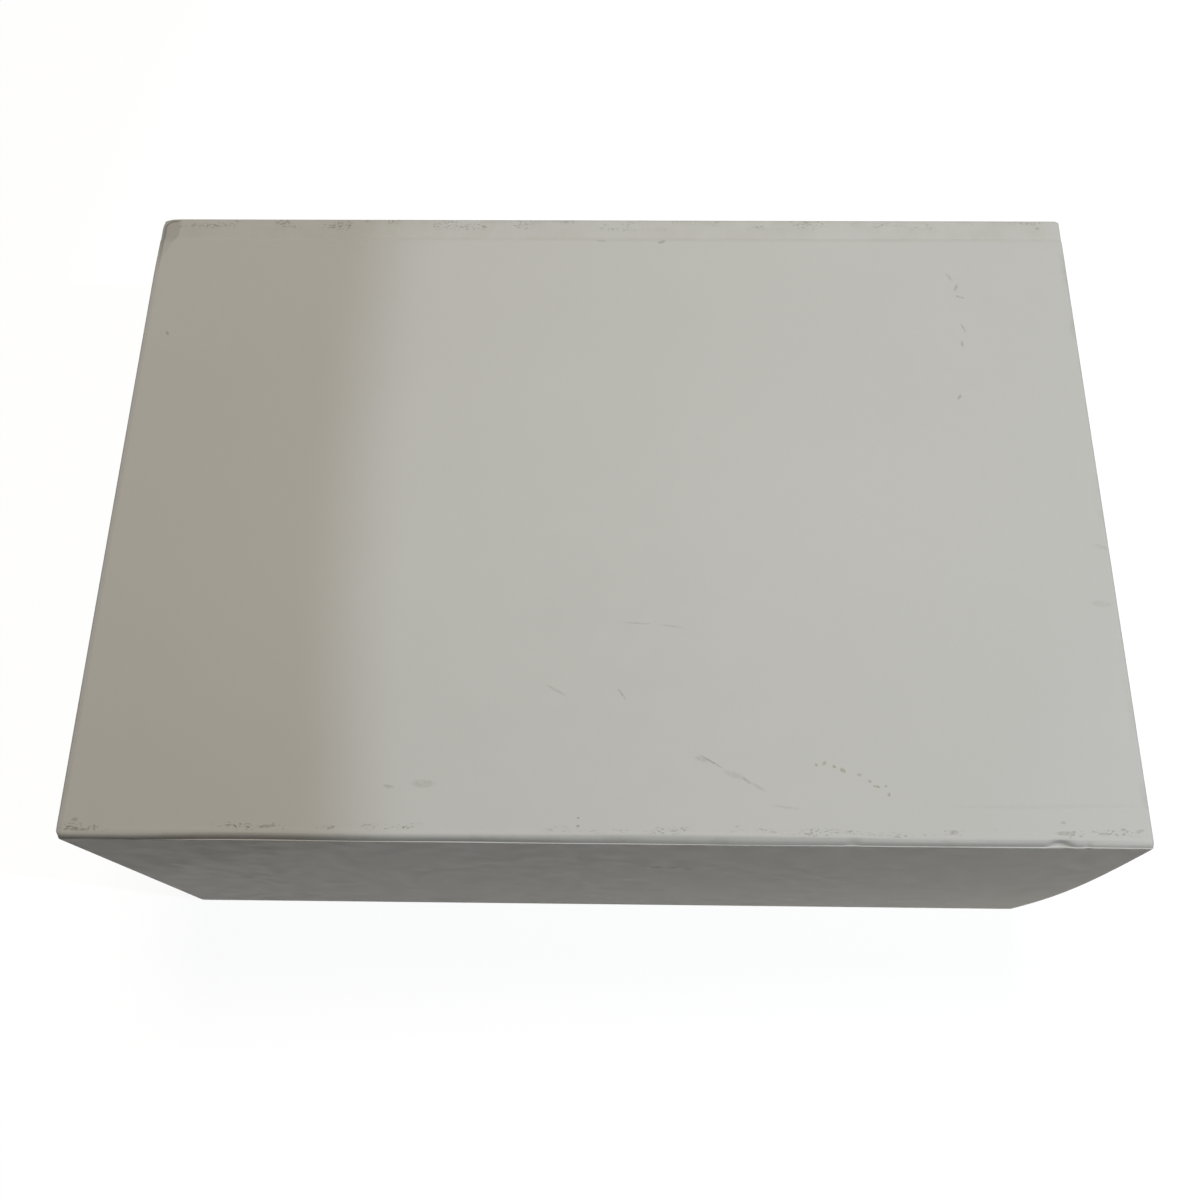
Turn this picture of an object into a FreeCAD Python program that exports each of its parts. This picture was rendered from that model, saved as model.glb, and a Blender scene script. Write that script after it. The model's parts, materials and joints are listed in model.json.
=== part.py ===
"""White book-style gift box: a greyboard tray glued into a papered case whose lid and front flap fold open."""
import FreeCAD, Part
import math
import os

V = FreeCAD.Vector

# Sizes that can be set, in millimetres. +X is along the box, -Y is the front, +Z is up.
CASE_WIDTH = 330.0
CASE_DEPTH = 229.0        # flap face to spine face
CASE_HEIGHT = 142.0       # table to lid
BOARD = 2.0               # greyboard of the case
TRAY_BOARD = 2.0          # greyboard of the tray
PAPER = 0.2               # every cover, wrap and liner paper
STAY_PAPER = 0.1          # corner tape
STAY_REACH = 20.0         # corner tape along each wall
TURN_IN = 15.0            # paper turned in past a board's edge
LINER_MARGIN = 3.0        # liner short of the panel's edge
LINER_DROP = 5.0          # tray liner short of the rim
SIDE_REVEAL = 1.5         # case past the tray on each side
FLAP_GAP = 0.4            # flap to tray
LID_GAP = 0.2             # lid to rim
FLAP_LIFT = 1.0           # flap's free edge above the table
SHOULDER = 3.0            # reach of the paper shoulder in front of the lid board
SHOULDER_DROP = 1.5       # fall of the shoulder's slope
SHOULDER_LEAD = 1.1       # lid board to the top of that slope
SHOULDER_LOW = 2.2        # bend below the slope
SHOULDER_HIGH = 3.1       # bend above it
EDGE_ROUND = 0.5          # board edges
CORNER_ROUND = 1.5        # board corners in plan
SPINE_ROUND = 1.0         # paper's bend over the spine's top edge
FOLD_ROOM = 0.15          # that bend to the spine board
STRIP = 11.0              # lid board to spine face
STRIP_SINK = 0.4          # strip's back edge under the lid's top
GROOVE = 0.3              # groove beside the lid board, under the strip's back edge
GROOVE_RUN = 1.0          # width of the groove's slope
HINGE_TAIL = 20.0         # hinge liner tucked behind the tray
TAIL_ROOM = 0.5           # hinge liner to the spine's turned-in paper
PLEAT = 1.0               # rise of the pleat in the front hinge's liner
PLEAT_ROOM = 0.4          # pleat to the shoulder
MAGNET_DIAMETER = 12.0
MAGNET_THICKNESS = 1.5
KEEPER_THICKNESS = 1.0
MAGNET_FIT = 0.1          # radial room in a pocket
MAGNET_COUNT = 4
MAGNET_SPAN = 240.0       # first magnet to last
MAGNET_HEIGHT = 45.0      # above the table

# Faces that several pieces share
FRONT = -CASE_DEPTH / 2
BACK = CASE_DEPTH / 2
STACK = BOARD + 2 * PAPER                       # paper, board, turned-in paper
COVER_ROUND = EDGE_ROUND + PAPER
LINER_WIDTH = CASE_WIDTH - 2 * LINER_MARGIN

LID_LOW = CASE_HEIGHT - PAPER - BOARD           # underside of the lid board
LID_FRONT = FRONT + COVER_ROUND + SHOULDER
LID_BACK = BACK - STRIP
LID_UNDER = LID_LOW - 2 * PAPER                 # underside of the lid's liner

FLAP_INNER = FRONT + PAPER + BOARD              # inner face of the flap board
FLAP_TOP = LID_UNDER - PAPER                    # top edge of the flap board
FLAP_COVER_TOP = FLAP_TOP + PAPER - COVER_ROUND

SPINE_INNER = BACK - PAPER - BOARD              # inner face of the spine board
STRIP_TOP = CASE_HEIGHT - STRIP_SINK
SPINE_TOP = STRIP_TOP - PAPER - FOLD_ROOM       # top edge of the spine board
SPINE_COVER_TOP = SPINE_TOP - 2 * SPINE_ROUND

TRAY_FRONT = FRONT + STACK + PAPER + FLAP_GAP   # outer faces of the tray's wrap
TRAY_BACK = BACK - STACK
TRAY_SIDE = CASE_WIDTH / 2 - SIDE_REVEAL
TRAY_LOW = STACK
RIM = LID_UNDER - LID_GAP

SHELL_FRONT = TRAY_FRONT + PAPER                # outer faces of the tray's boards
SHELL_BACK = TRAY_BACK - PAPER
SHELL_SIDE = TRAY_SIDE - PAPER
SHELL_LOW = TRAY_LOW + PAPER
SHELL_TOP = RIM - PAPER
WALL_LOW = SHELL_LOW + TRAY_BOARD
ROOM_FRONT = SHELL_FRONT + TRAY_BOARD           # inner faces of the tray's boards
ROOM_BACK = SHELL_BACK - TRAY_BOARD
ROOM_SIDE = SHELL_SIDE - TRAY_BOARD

magnet_pitch = MAGNET_SPAN / (MAGNET_COUNT - 1)
magnet_places = [-MAGNET_SPAN / 2 + i * magnet_pitch for i in range(MAGNET_COUNT)]


def slab(half_width, y_low, y_high, z_low, z_high):
    """A block centred on X."""
    return Part.makeBox(2 * half_width, y_high - y_low, z_high - z_low, V(-half_width, y_low, z_low))


def fillet_where(shape, radius, wanted):
    """Round the straight or curved edges whose bounding box passes the test."""
    return shape.makeFillet(radius, [edge for edge in shape.Edges if wanted(edge.BoundBox)])


def panel_block(width, start, end, low, high, edge_round, corner_round, end_wrapped):
    """A flat panel in its own frame: width along X, run along Y, thickness along Z, with its papered edges rounded."""
    block = Part.makeBox(width, end - start, high - low, V(-width / 2, start, low))
    near = 1e-4
    if end_wrapped:
        block = fillet_where(block, corner_round, lambda b: b.YMin > end - near and b.ZLength > high - low - near)

    def rim(b):
        flat = b.ZLength < near
        along_side = b.XLength < near
        return flat and (along_side or (end_wrapped and b.YMax > start + near))

    return fillet_where(block, edge_round, rim)


def panel_board(start, end, end_wrapped):
    """Greyboard of a case panel: its outer face looks along +Z."""
    length_end = end - PAPER if end_wrapped else end
    return panel_block(CASE_WIDTH - 2 * PAPER, start, length_end, 0, BOARD, EDGE_ROUND, CORNER_ROUND, end_wrapped)


def panel_cover(board, start, end, end_wrapped):
    """Paper over a board, around its sides and its wrapped end, and turned in under it."""
    outer = panel_block(CASE_WIDTH, start, end, -PAPER, BOARD + PAPER, COVER_ROUND, CORNER_ROUND + PAPER, end_wrapped)
    bare_end = end - TURN_IN if end_wrapped else end
    bare = slab(CASE_WIDTH / 2 - TURN_IN, start, bare_end, -PAPER, 0)
    return outer.cut(board).cut(bare)


def panel_liner(start, end, end_wrapped):
    """Liner that lies on the bare board and steps up over the turned-in paper."""
    half = LINER_WIDTH / 2
    last = end - LINER_MARGIN if end_wrapped else end
    bare_half = CASE_WIDTH / 2 - TURN_IN
    bare_last = end - TURN_IN if end_wrapped else end
    hollow_last = bare_last - PAPER if end_wrapped else bare_last
    over_turn_in = slab(half, start, last, -2 * PAPER, -PAPER)
    on_board = slab(bare_half, start, bare_last, -PAPER, 0)
    hollow = slab(bare_half - PAPER, start, hollow_last, -2 * PAPER, -PAPER)
    return over_turn_in.fuse(on_board).cut(hollow).removeSplitter()


def place(shape, origin, run, outward):
    """Move a panel so that its run and outward directions lie along the given ones."""
    across = run.cross(outward)
    matrix = FreeCAD.Matrix(across.x, run.x, outward.x, origin.x,
                            across.y, run.y, outward.y, origin.y,
                            across.z, run.z, outward.z, origin.z,
                            0, 0, 0, 1)
    moved = shape.copy()
    moved.Placement = FreeCAD.Placement(matrix)
    return moved


def shifted(points, distance):
    """A path of (y, z) points moved sideways to its right by a distance, corners kept sharp."""
    lines = []
    for (y0, z0), (y1, z1) in zip(points, points[1:]):
        length = math.hypot(y1 - y0, z1 - z0)
        step_y = (z1 - z0) / length * distance
        step_z = -(y1 - y0) / length * distance
        lines.append(((y0 + step_y, z0 + step_z), (y1 + step_y, z1 + step_z)))
    result = [lines[0][0]]
    for ((ay, az), (by, bz)), ((cy, cz), (dy, dz)) in zip(lines, lines[1:]):
        cross = (by - ay) * (dz - cz) - (bz - az) * (dy - cy)
        t = ((cy - ay) * (dz - cz) - (cz - az) * (dy - cy)) / cross
        result.append((ay + t * (by - ay), az + t * (bz - az)))
    result.append(lines[-1][1])
    return result


def path_edges(points, radii):
    """Edges along a path of (y, z) points, with each inner corner rounded by its radius."""
    edges = []
    here = V(0, *points[0])
    for index, radius in enumerate(radii):
        before = V(0, *points[index])
        corner = V(0, *points[index + 1])
        after = V(0, *points[index + 2])
        to_before = (before - corner).normalize()
        to_after = (after - corner).normalize()
        if radius <= 0:
            if (corner - here).Length > 1e-6:
                edges.append(Part.LineSegment(here, corner).toShape())
            here = corner
            continue
        half_angle = to_before.getAngle(to_after) / 2
        reach = radius / math.tan(half_angle)
        first = corner + to_before * reach
        last = corner + to_after * reach
        middle_line = (to_before + to_after).normalize()
        middle = corner + middle_line * (radius / math.sin(half_angle) - radius)
        if (first - here).Length > 1e-6:
            edges.append(Part.LineSegment(here, first).toShape())
        edges.append(Part.Arc(first, middle, last).toShape())
        here = last
    end = V(0, *points[-1])
    if (end - here).Length > 1e-6:
        edges.append(Part.LineSegment(here, end).toShape())
    return edges


def strip(points, radii, near, far, half_width, start=None):
    """A paper strip along X: the band between two distances to the right of a folded path."""
    def turned(distance):
        changed = []
        for index, radius in enumerate(radii):
            (ay, az), (by, bz), (cy, cz) = points[index:index + 3]
            turn = (by - ay) * (cz - bz) - (bz - az) * (cy - by)
            changed.append(max(radius + (distance if turn > 0 else -distance), 0) if radius > 0 else 0)
        return path_edges(shifted(points, distance), changed)

    upper = turned(near)
    lower = turned(far)
    first_cap = Part.LineSegment(lower[0].firstVertex().Point, upper[0].firstVertex().Point).toShape()
    last_cap = Part.LineSegment(upper[-1].lastVertex().Point, lower[-1].lastVertex().Point).toShape()
    wire = Part.Wire(Part.__sortEdges__(upper + [last_cap] + lower + [first_cap]))
    band = Part.Face(wire).extrude(V(2 * half_width, 0, 0))
    band.translate(V(-half_width if start is None else start, 0, 0))
    return band


nodes = {}

# Case panels: the base lies under the tray, the spine stands behind it, the lid and the flap fold over it.
base_back = TRAY_BACK
base_run = base_back - TRAY_FRONT
spine_low = TRAY_LOW
panels = {
    "base": (V(0, base_back, PAPER + BOARD), V(0, -1, 0), V(0, 0, -1), (0, base_run), (0, base_run), True),
    "spine": (V(0, SPINE_INNER, spine_low), V(0, 0, 1), V(0, 1, 0),
              (0, SPINE_TOP - spine_low), (0, SPINE_COVER_TOP - spine_low), False),
    "lid": (V(0, LID_FRONT, LID_LOW), V(0, 1, 0), V(0, 0, 1), (0, LID_BACK - LID_FRONT), (0, LID_BACK - LID_FRONT), False),
    "flap": (V(0, FLAP_INNER, FLAP_TOP), V(0, 0, -1), V(0, -1, 0),
             (0, FLAP_TOP - FLAP_LIFT), (FLAP_TOP - FLAP_COVER_TOP, FLAP_TOP - FLAP_LIFT), True),
}
for name, (origin, run, outward, board_run, cover_run, end_wrapped) in panels.items():
    board = panel_board(*board_run, end_wrapped)
    nodes[name + "_board"] = place(board, origin, run, outward)
    nodes[name + "_cover"] = place(panel_cover(board, *cover_run, end_wrapped), origin, run, outward)
    if name in ("lid", "flap"):
        nodes[name + "_liner"] = place(panel_liner(*board_run, end_wrapped), origin, run, outward)

# The two board edges that a fold bends around
def round_long_edge(shape, corner_y, corner_z, radius, inward):
    """Take the corner off a board along X: the corner is at (y, z) and the board lies toward inward in Y and down in Z."""
    centre = V(-CASE_WIDTH, corner_y + inward * radius, corner_z - radius)
    square = Part.makeBox(2 * CASE_WIDTH, radius, radius, V(-CASE_WIDTH, min(corner_y, centre.y), centre.z))
    return shape.cut(square.cut(Part.makeCylinder(radius, 2 * CASE_WIDTH, centre, V(1, 0, 0))))


nodes["spine_board"] = round_long_edge(nodes["spine_board"], SPINE_INNER + BOARD, SPINE_TOP, SPINE_ROUND + FOLD_ROOM, -1)
nodes["flap_board"] = round_long_edge(nodes["flap_board"], FLAP_INNER - BOARD, FLAP_TOP, EDGE_ROUND, 1)

# Papers across the folds. Each path has its paper on its right.
groove_floor = STRIP_TOP - GROOVE
groove_back = LID_BACK + COVER_ROUND + GROOVE_RUN
strip_path = [(LID_BACK, CASE_HEIGHT), (LID_BACK + COVER_ROUND, CASE_HEIGHT), (groove_back, groove_floor), (SPINE_INNER, STRIP_TOP)]
strip_radii = [COVER_ROUND, COVER_ROUND]
over_spine = [(BACK, STRIP_TOP), (BACK, SPINE_COVER_TOP)]
lid_hinge = strip(strip_path + over_spine, strip_radii + [0, SPINE_ROUND + PAPER], 0, PAPER, CASE_WIDTH / 2)
behind_turn_in = slab(CASE_WIDTH, SPINE_INNER - PAPER, BACK, 0, CASE_HEIGHT)
for side in (-CASE_WIDTH / 2, CASE_WIDTH / 2 - TURN_IN):
    turned_in = strip(strip_path, strip_radii, PAPER, 2 * PAPER, TURN_IN / 2, side)
    lid_hinge = lid_hinge.fuse(turned_in.cut(behind_turn_in))
nodes["lid_hinge_paper"] = lid_hinge.removeSplitter()

tuck_top = groove_floor - PAPER
tuck_path = [(LID_BACK, LID_LOW - PAPER), (LID_BACK, tuck_top), (SPINE_INNER, tuck_top), (SPINE_INNER, RIM - HINGE_TAIL)]
tuck_half = CASE_WIDTH / 2 - TURN_IN - TAIL_ROOM
nodes["lid_hinge_liner"] = strip(tuck_path, [EDGE_ROUND, EDGE_ROUND], 0, PAPER, tuck_half)

ledge = FLAP_TOP + PAPER
shoulder_foot = FRONT + COVER_ROUND
slope_low = (shoulder_foot, CASE_HEIGHT - SHOULDER_DROP)
slope_high = (LID_FRONT - SHOULDER_LEAD, CASE_HEIGHT)
shoulder_path = [(FRONT, FLAP_COVER_TOP), (FRONT, ledge), (shoulder_foot, ledge), slope_low, slope_high, (LID_FRONT, CASE_HEIGHT)]
shoulder_radii = [COVER_ROUND, 0, SHOULDER_LOW, SHOULDER_HIGH]
nodes["flap_hinge_paper"] = strip(shoulder_path, shoulder_radii, 0, PAPER, CASE_WIDTH / 2)

pleat_foot = shoulder_foot + PAPER + PLEAT_ROOM
pleat_top = LID_LOW - PAPER + PLEAT
pleat_path = [(FLAP_INNER + PAPER, FLAP_TOP), (pleat_foot, FLAP_TOP), (pleat_foot, pleat_top), (LID_FRONT, pleat_top), (LID_FRONT, LID_LOW - PAPER)]
nodes["flap_hinge_liner"] = strip(pleat_path, [0, COVER_ROUND, EDGE_ROUND], 0, PAPER, LINER_WIDTH / 2)

base_fold_path = [(BACK, TRAY_LOW), (BACK, 0), (TRAY_BACK, 0)]
nodes["base_fold_paper"] = strip(base_fold_path, [STACK], 0, PAPER, CASE_WIDTH / 2)

# Tray: four walls on a bottom board, taped at the corners, wrapped outside and lined inside
nodes["tray_bottom_board"] = slab(SHELL_SIDE, SHELL_FRONT, SHELL_BACK, SHELL_LOW, WALL_LOW)
nodes["tray_front_board"] = slab(SHELL_SIDE, SHELL_FRONT, ROOM_FRONT, WALL_LOW, SHELL_TOP)
nodes["tray_back_board"] = slab(SHELL_SIDE, ROOM_BACK, SHELL_BACK, WALL_LOW, SHELL_TOP)
side_wall = Part.makeBox(TRAY_BOARD, ROOM_BACK - ROOM_FRONT, SHELL_TOP - WALL_LOW, V(ROOM_SIDE, ROOM_FRONT, WALL_LOW))
nodes["tray_right_board"] = side_wall
nodes["tray_left_board"] = side_wall.mirror(V(0, 0, 0), V(1, 0, 0))

shell = slab(SHELL_SIDE, SHELL_FRONT, SHELL_BACK, SHELL_LOW, SHELL_TOP)
taped = slab(SHELL_SIDE + STAY_PAPER, SHELL_FRONT - STAY_PAPER, SHELL_BACK + STAY_PAPER, WALL_LOW, SHELL_TOP).cut(shell)
stays = []
for side in (-1, 1):
    for wall in (SHELL_FRONT, SHELL_BACK):
        reach = Part.makeBox(2 * STAY_REACH, 2 * STAY_REACH, SHELL_TOP, V(side * SHELL_SIDE - STAY_REACH, wall - STAY_REACH, 0))
        stays.append(taped.common(reach))
nodes["tray_corner_stays"] = Part.makeCompound(stays)

wrap = slab(TRAY_SIDE, TRAY_FRONT, TRAY_BACK, TRAY_LOW, RIM)
wrap = fillet_where(wrap, COVER_ROUND, lambda b: b.ZLength > RIM - TRAY_LOW - 1e-4)
wrap = wrap.cut(shell)
wrap = wrap.cut(slab(SHELL_SIDE - TURN_IN, SHELL_FRONT + TURN_IN, SHELL_BACK - TURN_IN, TRAY_LOW, SHELL_LOW))
mouth = slab(ROOM_SIDE - PAPER, ROOM_FRONT + PAPER, ROOM_BACK - PAPER, 0, CASE_HEIGHT)
over_rim = slab(ROOM_SIDE, ROOM_FRONT, ROOM_BACK, SHELL_TOP - TURN_IN, SHELL_TOP)
wrap = wrap.cut(mouth.common(slab(ROOM_SIDE, ROOM_FRONT, ROOM_BACK, SHELL_TOP, RIM))).fuse(over_rim.cut(mouth))
for stay in stays:
    wrap = wrap.cut(stay)
nodes["tray_wrap"] = wrap.removeSplitter()

step = SHELL_TOP - TURN_IN
lower_lining = slab(ROOM_SIDE, ROOM_FRONT, ROOM_BACK, WALL_LOW, step).cut(mouth)
upper_hollow = slab(ROOM_SIDE - 2 * PAPER, ROOM_FRONT + 2 * PAPER, ROOM_BACK - 2 * PAPER, 0, CASE_HEIGHT)
upper_lining = slab(ROOM_SIDE - PAPER, ROOM_FRONT + PAPER, ROOM_BACK - PAPER, step - PAPER, SHELL_TOP - LINER_DROP).cut(upper_hollow)
nodes["tray_wall_liner"] = lower_lining.fuse(upper_lining).removeSplitter()
nodes["tray_floor_liner"] = slab(ROOM_SIDE - PAPER, ROOM_FRONT + PAPER, ROOM_BACK - PAPER, WALL_LOW, WALL_LOW + PAPER)

# Magnets in the flap face steel discs in the tray's front wall
pocket_radius = MAGNET_DIAMETER / 2 + MAGNET_FIT
toward_front = V(0, -1, 0)
toward_back = V(0, 1, 0)
magnets = []
keepers = []
for x in magnet_places:
    flap_spot = V(x, FLAP_INNER, MAGNET_HEIGHT)
    wall_spot = V(x, SHELL_FRONT, MAGNET_HEIGHT)
    magnets.append(Part.makeCylinder(MAGNET_DIAMETER / 2, MAGNET_THICKNESS, flap_spot, toward_front))
    keepers.append(Part.makeCylinder(MAGNET_DIAMETER / 2, KEEPER_THICKNESS, wall_spot, toward_back))
    flap_pocket = Part.makeCylinder(pocket_radius, MAGNET_THICKNESS, flap_spot, toward_front)
    wall_pocket = Part.makeCylinder(pocket_radius, KEEPER_THICKNESS, wall_spot, toward_back)
    nodes["flap_board"] = nodes["flap_board"].cut(flap_pocket)
    nodes["tray_front_board"] = nodes["tray_front_board"].cut(wall_pocket)
nodes["flap_magnets"] = Part.makeCompound(magnets)
nodes["keeper_discs"] = Part.makeCompound(keepers)

os.makedirs("parts", exist_ok=True)
for name, shape in nodes.items():
    shape.exportStep("parts/" + name + ".step")
    print(name, shape.isValid(), len(shape.Solids), round(shape.Volume, 1))
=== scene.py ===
"""White book-style gift box: papered panels, folded hinges and a lined tray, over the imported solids."""
import json
import math
import bmesh
import bpy
import numpy as np
from mathutils import Matrix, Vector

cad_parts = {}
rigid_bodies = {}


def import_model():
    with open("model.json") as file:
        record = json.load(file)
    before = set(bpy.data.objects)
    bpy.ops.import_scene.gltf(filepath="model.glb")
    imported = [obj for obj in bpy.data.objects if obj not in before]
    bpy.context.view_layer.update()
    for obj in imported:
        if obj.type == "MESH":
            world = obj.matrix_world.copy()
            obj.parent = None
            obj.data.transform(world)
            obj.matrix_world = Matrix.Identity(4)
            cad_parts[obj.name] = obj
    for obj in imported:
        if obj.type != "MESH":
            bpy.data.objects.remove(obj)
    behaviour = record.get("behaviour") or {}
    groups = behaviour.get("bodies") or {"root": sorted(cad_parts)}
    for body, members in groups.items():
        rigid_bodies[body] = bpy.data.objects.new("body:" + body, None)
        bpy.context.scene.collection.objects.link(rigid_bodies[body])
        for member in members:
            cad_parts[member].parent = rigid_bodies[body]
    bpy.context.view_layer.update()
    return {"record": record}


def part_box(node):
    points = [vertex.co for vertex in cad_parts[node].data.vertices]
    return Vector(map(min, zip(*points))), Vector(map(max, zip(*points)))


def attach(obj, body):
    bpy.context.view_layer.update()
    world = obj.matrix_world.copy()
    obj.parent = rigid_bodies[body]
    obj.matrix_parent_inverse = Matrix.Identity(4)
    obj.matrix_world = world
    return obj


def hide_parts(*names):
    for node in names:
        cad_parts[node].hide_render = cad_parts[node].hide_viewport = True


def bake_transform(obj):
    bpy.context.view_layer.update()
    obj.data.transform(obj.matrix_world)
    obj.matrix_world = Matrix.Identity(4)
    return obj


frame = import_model()

MM = 0.001
X, Y, Z = 0, 1, 2

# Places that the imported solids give, in metres
lid_low, lid_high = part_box("lid_cover")
lid_board_low, lid_board_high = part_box("lid_board")
flap_low, flap_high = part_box("flap_cover")
flap_board_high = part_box("flap_board")[1]
spine_low, spine_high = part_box("spine_cover")
spine_board_low, spine_board_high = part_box("spine_board")
base_low, base_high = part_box("base_cover")
wrap_low, wrap_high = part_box("tray_wrap")
room_low, room_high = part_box("tray_wall_liner")
floor_low, floor_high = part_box("tray_floor_liner")
lid_tuck_low, lid_tuck_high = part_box("lid_hinge_liner")
pleat_low, pleat_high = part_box("flap_hinge_liner")
magnet_low, magnet_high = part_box("flap_magnets")

HALF = lid_high[X]                               # half the box's width
LID_TOP = lid_high[Z]
LID_FRONT = lid_low[Y]
LID_BACK = lid_high[Y]
LID_UNDER = lid_board_low[Z]
FRONT = flap_low[Y]
BACK = spine_high[Y]
FLAP_INNER = flap_board_high[Y]
FLAP_TOP = flap_board_high[Z]
SPINE_INNER = spine_board_low[Y]
BOARD = lid_board_high[Z] - lid_board_low[Z]
PAPER = LID_TOP - lid_board_high[Z]
FOLD_ROOM = 0.15 * MM                            # spine board to the paper over it
STRIP_TOP = spine_board_high[Z] + PAPER + FOLD_ROOM

# Paper work, in metres
TURN_IN = 15 * MM              # paper turned in past a board's edge
LINER_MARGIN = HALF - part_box("lid_liner")[1][X]
EDGE_ROUND = 0.7 * MM          # paper around a board's edge
LID_EDGE = 1.15 * MM           # the same on the lid, where handling has softened it
CORNER_ROUND = 1.9 * MM        # paper around a free corner, in plan
LEFT_SHOULDER = 2.2 * MM       # left end of the front shoulder, in plan
RIGHT_SHOULDER = 1.0 * MM      # its right end
STRIP_CORNER = 1.7 * MM        # right end of the back strip, in plan
KNOCK_CORNER = 4.5 * MM        # its knocked left end
SPINE_ROUND = 1.25 * MM        # bend over the spine's top edge
GROOVE = 0.12 * MM             # groove beside the lid board
GROOVE_RUN = 1.8 * MM
FLAP_BOW = 2.0 * MM            # how far the flap's right edge bows forward at mid height
KNOCK_RUN = 24 * MM            # length at the lid's back that the knocked corner bends
HEM_STEP = 0.5 * MM            # run over which a fold's paper doubles at its ends
TURN_STEP = 1.2 * MM           # slope of a liner up onto the turned-in paper
MAGNET_PROUD = 0.06 * MM       # rise of the flap's liner over a magnet
FLOOR_AIR = 0.05 * MM          # air left under the paper on the tray's floor
SMOOTH_ANGLE = math.radians(38)

# Spacing of the lines in the meshes, in metres, or as shares of a rounded edge
ROUND_STOPS = (0.0, 0.12, 0.28, 0.5, 0.75, 1.0)
BOARD_STOPS = (0.0, 0.28, 0.6, 1.0)
FLAT_STOPS = [size * MM for size in (1.3, 1.9, 2.6, 3.5, 4.5, 6.0, 8.0, 10.0, 12.5)]
FOLD_END_STOPS = [size * MM for size in (
    0.0, 0.08, 0.2, 0.4, 0.65, 0.95, 1.4, 1.9, 2.5, 3.2, 4.0, 5.0, 6.2, 7.6, 9.2, 11.5, 14.5, 15.0)]
BUMP_STOPS = (-1.2, -1.0, -0.8, -0.4, 0.0, 0.4, 0.8, 1.0, 1.2)
PANEL_STEP = 7 * MM
FINE_STEP = 1.5 * MM
LINER_STEP = 6 * MM
FOLD_LINER_STEP = 12 * MM
BACK_FOLD_STEP = 5 * MM
FRONT_FOLD_STEP = 4 * MM
FOOT_FOLD_STEP = 10 * MM
DENT_STEP = 0.5 * MM
FLOOR_STEP = 8 * MM
BOW_STEP_UP = 9 * MM
BOW_STEP_ALONG = 22 * MM
MERGE = 0.02 * MM              # lines closer than this are merged
SAME_POINT = 1e-6


# Shapes

def ease(low, high, value):
    """0 below low, 1 above high, and a smooth step between."""
    t = np.clip((value - low) / (high - low), 0.0, 1.0)
    return t * t * (3.0 - 2.0 * t)


def hump(centre, reach, value):
    """1 at the centre, falling smoothly to 0 at the reach."""
    t = np.clip(np.abs(value - centre) / reach, 0.0, 1.0)
    return (1.0 - t * t) ** 2


KNOCK_SIDE = -158.0 * MM                         # crease across the back strip
KNOCK_TURN = np.array((-158.8, 104.9)) * MM      # where the crease turns out over the lid
KNOCK_END = np.array((-164.4, 92.5)) * MM        # where it meets the lid's side
KNOCK_AWAY = np.array((KNOCK_END[1] - KNOCK_TURN[1], KNOCK_TURN[0] - KNOCK_END[0]))
KNOCK_AWAY = KNOCK_AWAY / np.linalg.norm(KNOCK_AWAY)
KNOCK_FALL = 0.10                                # fall beyond the crease
KNOCK_PULL = 0.03                                # pull inwards of the side beyond it
KNOCK_SOFT = 0.8 * MM                            # half the width of the crease


def settle(points):
    """Bend points down at the knocked back left corner, the same for every piece that lies there."""
    moved = np.array(points, dtype=float)
    beyond = np.minimum(KNOCK_SIDE - moved[:, X], (moved[:, :2] - KNOCK_TURN) @ KNOCK_AWAY)
    soft = np.clip(beyond + KNOCK_SOFT, 0.0, None) ** 2 / (4 * KNOCK_SOFT)
    near_top = np.clip((moved[:, Z] - LID_UNDER) / (BOARD + PAPER), 0.0, 1.0)
    knocked = np.where(beyond > KNOCK_SOFT, beyond, soft) * near_top
    moved[:, Z] -= KNOCK_FALL * knocked
    moved[:, X] += KNOCK_PULL * knocked
    return moved


def bow(points):
    """Carry points of the flap forward: its right side has warped between the fold and the foot."""
    moved = np.array(points, dtype=float)
    rise = np.sin(np.pi * np.clip(moved[:, Z] / FLAP_TOP, 0.0, 1.0))
    to_right = np.clip(0.5 + 0.5 * moved[:, X] / HALF, 0.0, 1.0)
    moved[:, Y] -= FLAP_BOW * rise * to_right ** 2
    return moved


def put(name, data):
    """A new object in the scene."""
    made = bpy.data.objects.new(name, data)
    bpy.context.scene.collection.objects.link(made)
    return made


def paint(mesh, material):
    """Give a mesh one material."""
    mesh.materials.clear()
    mesh.materials.append(material)


def build(name, points, faces, material, thickness=0.0):
    """A piece at the origin, with its material and its paper's thickness inwards."""
    mesh = bpy.data.meshes.new(name)
    mesh.from_pydata([tuple(p) for p in points], [], faces)
    piece = put(name, mesh)
    dress(piece, material, thickness)
    return piece


def dress(piece, material, thickness):
    """Give a sheet its thickness, its material, and smooth shading with sharp edges kept crisp."""
    if thickness:
        wall = piece.modifiers.new("thickness", "SOLIDIFY")
        wall.thickness = thickness
        wall.offset = -1.0
        wall.use_even_offset = True
        harden(piece)
    paint(piece.data, material)
    piece.data.shade_smooth()
    piece.data.set_sharp_from_angle(angle=SMOOTH_ANGLE)


def harden(piece):
    """Turn a piece's modifiers into plain mesh."""
    graph = bpy.context.evaluated_depsgraph_get()
    graph.update()
    plain = bpy.data.meshes.new_from_object(piece.evaluated_get(graph))
    old = piece.data
    piece.modifiers.clear()
    piece.data = plain
    bpy.data.meshes.remove(old)
    plain.name = piece.name


def remember_rest(piece):
    """Keep each point's place at rest, so that a pattern stays on paper that bends."""
    kept = piece.data.attributes.new("rest_place", "FLOAT_VECTOR", "POINT")
    places = np.empty(len(piece.data.vertices) * 3)
    piece.data.vertices.foreach_get("co", places)
    kept.data.foreach_set("vector", places)


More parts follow.
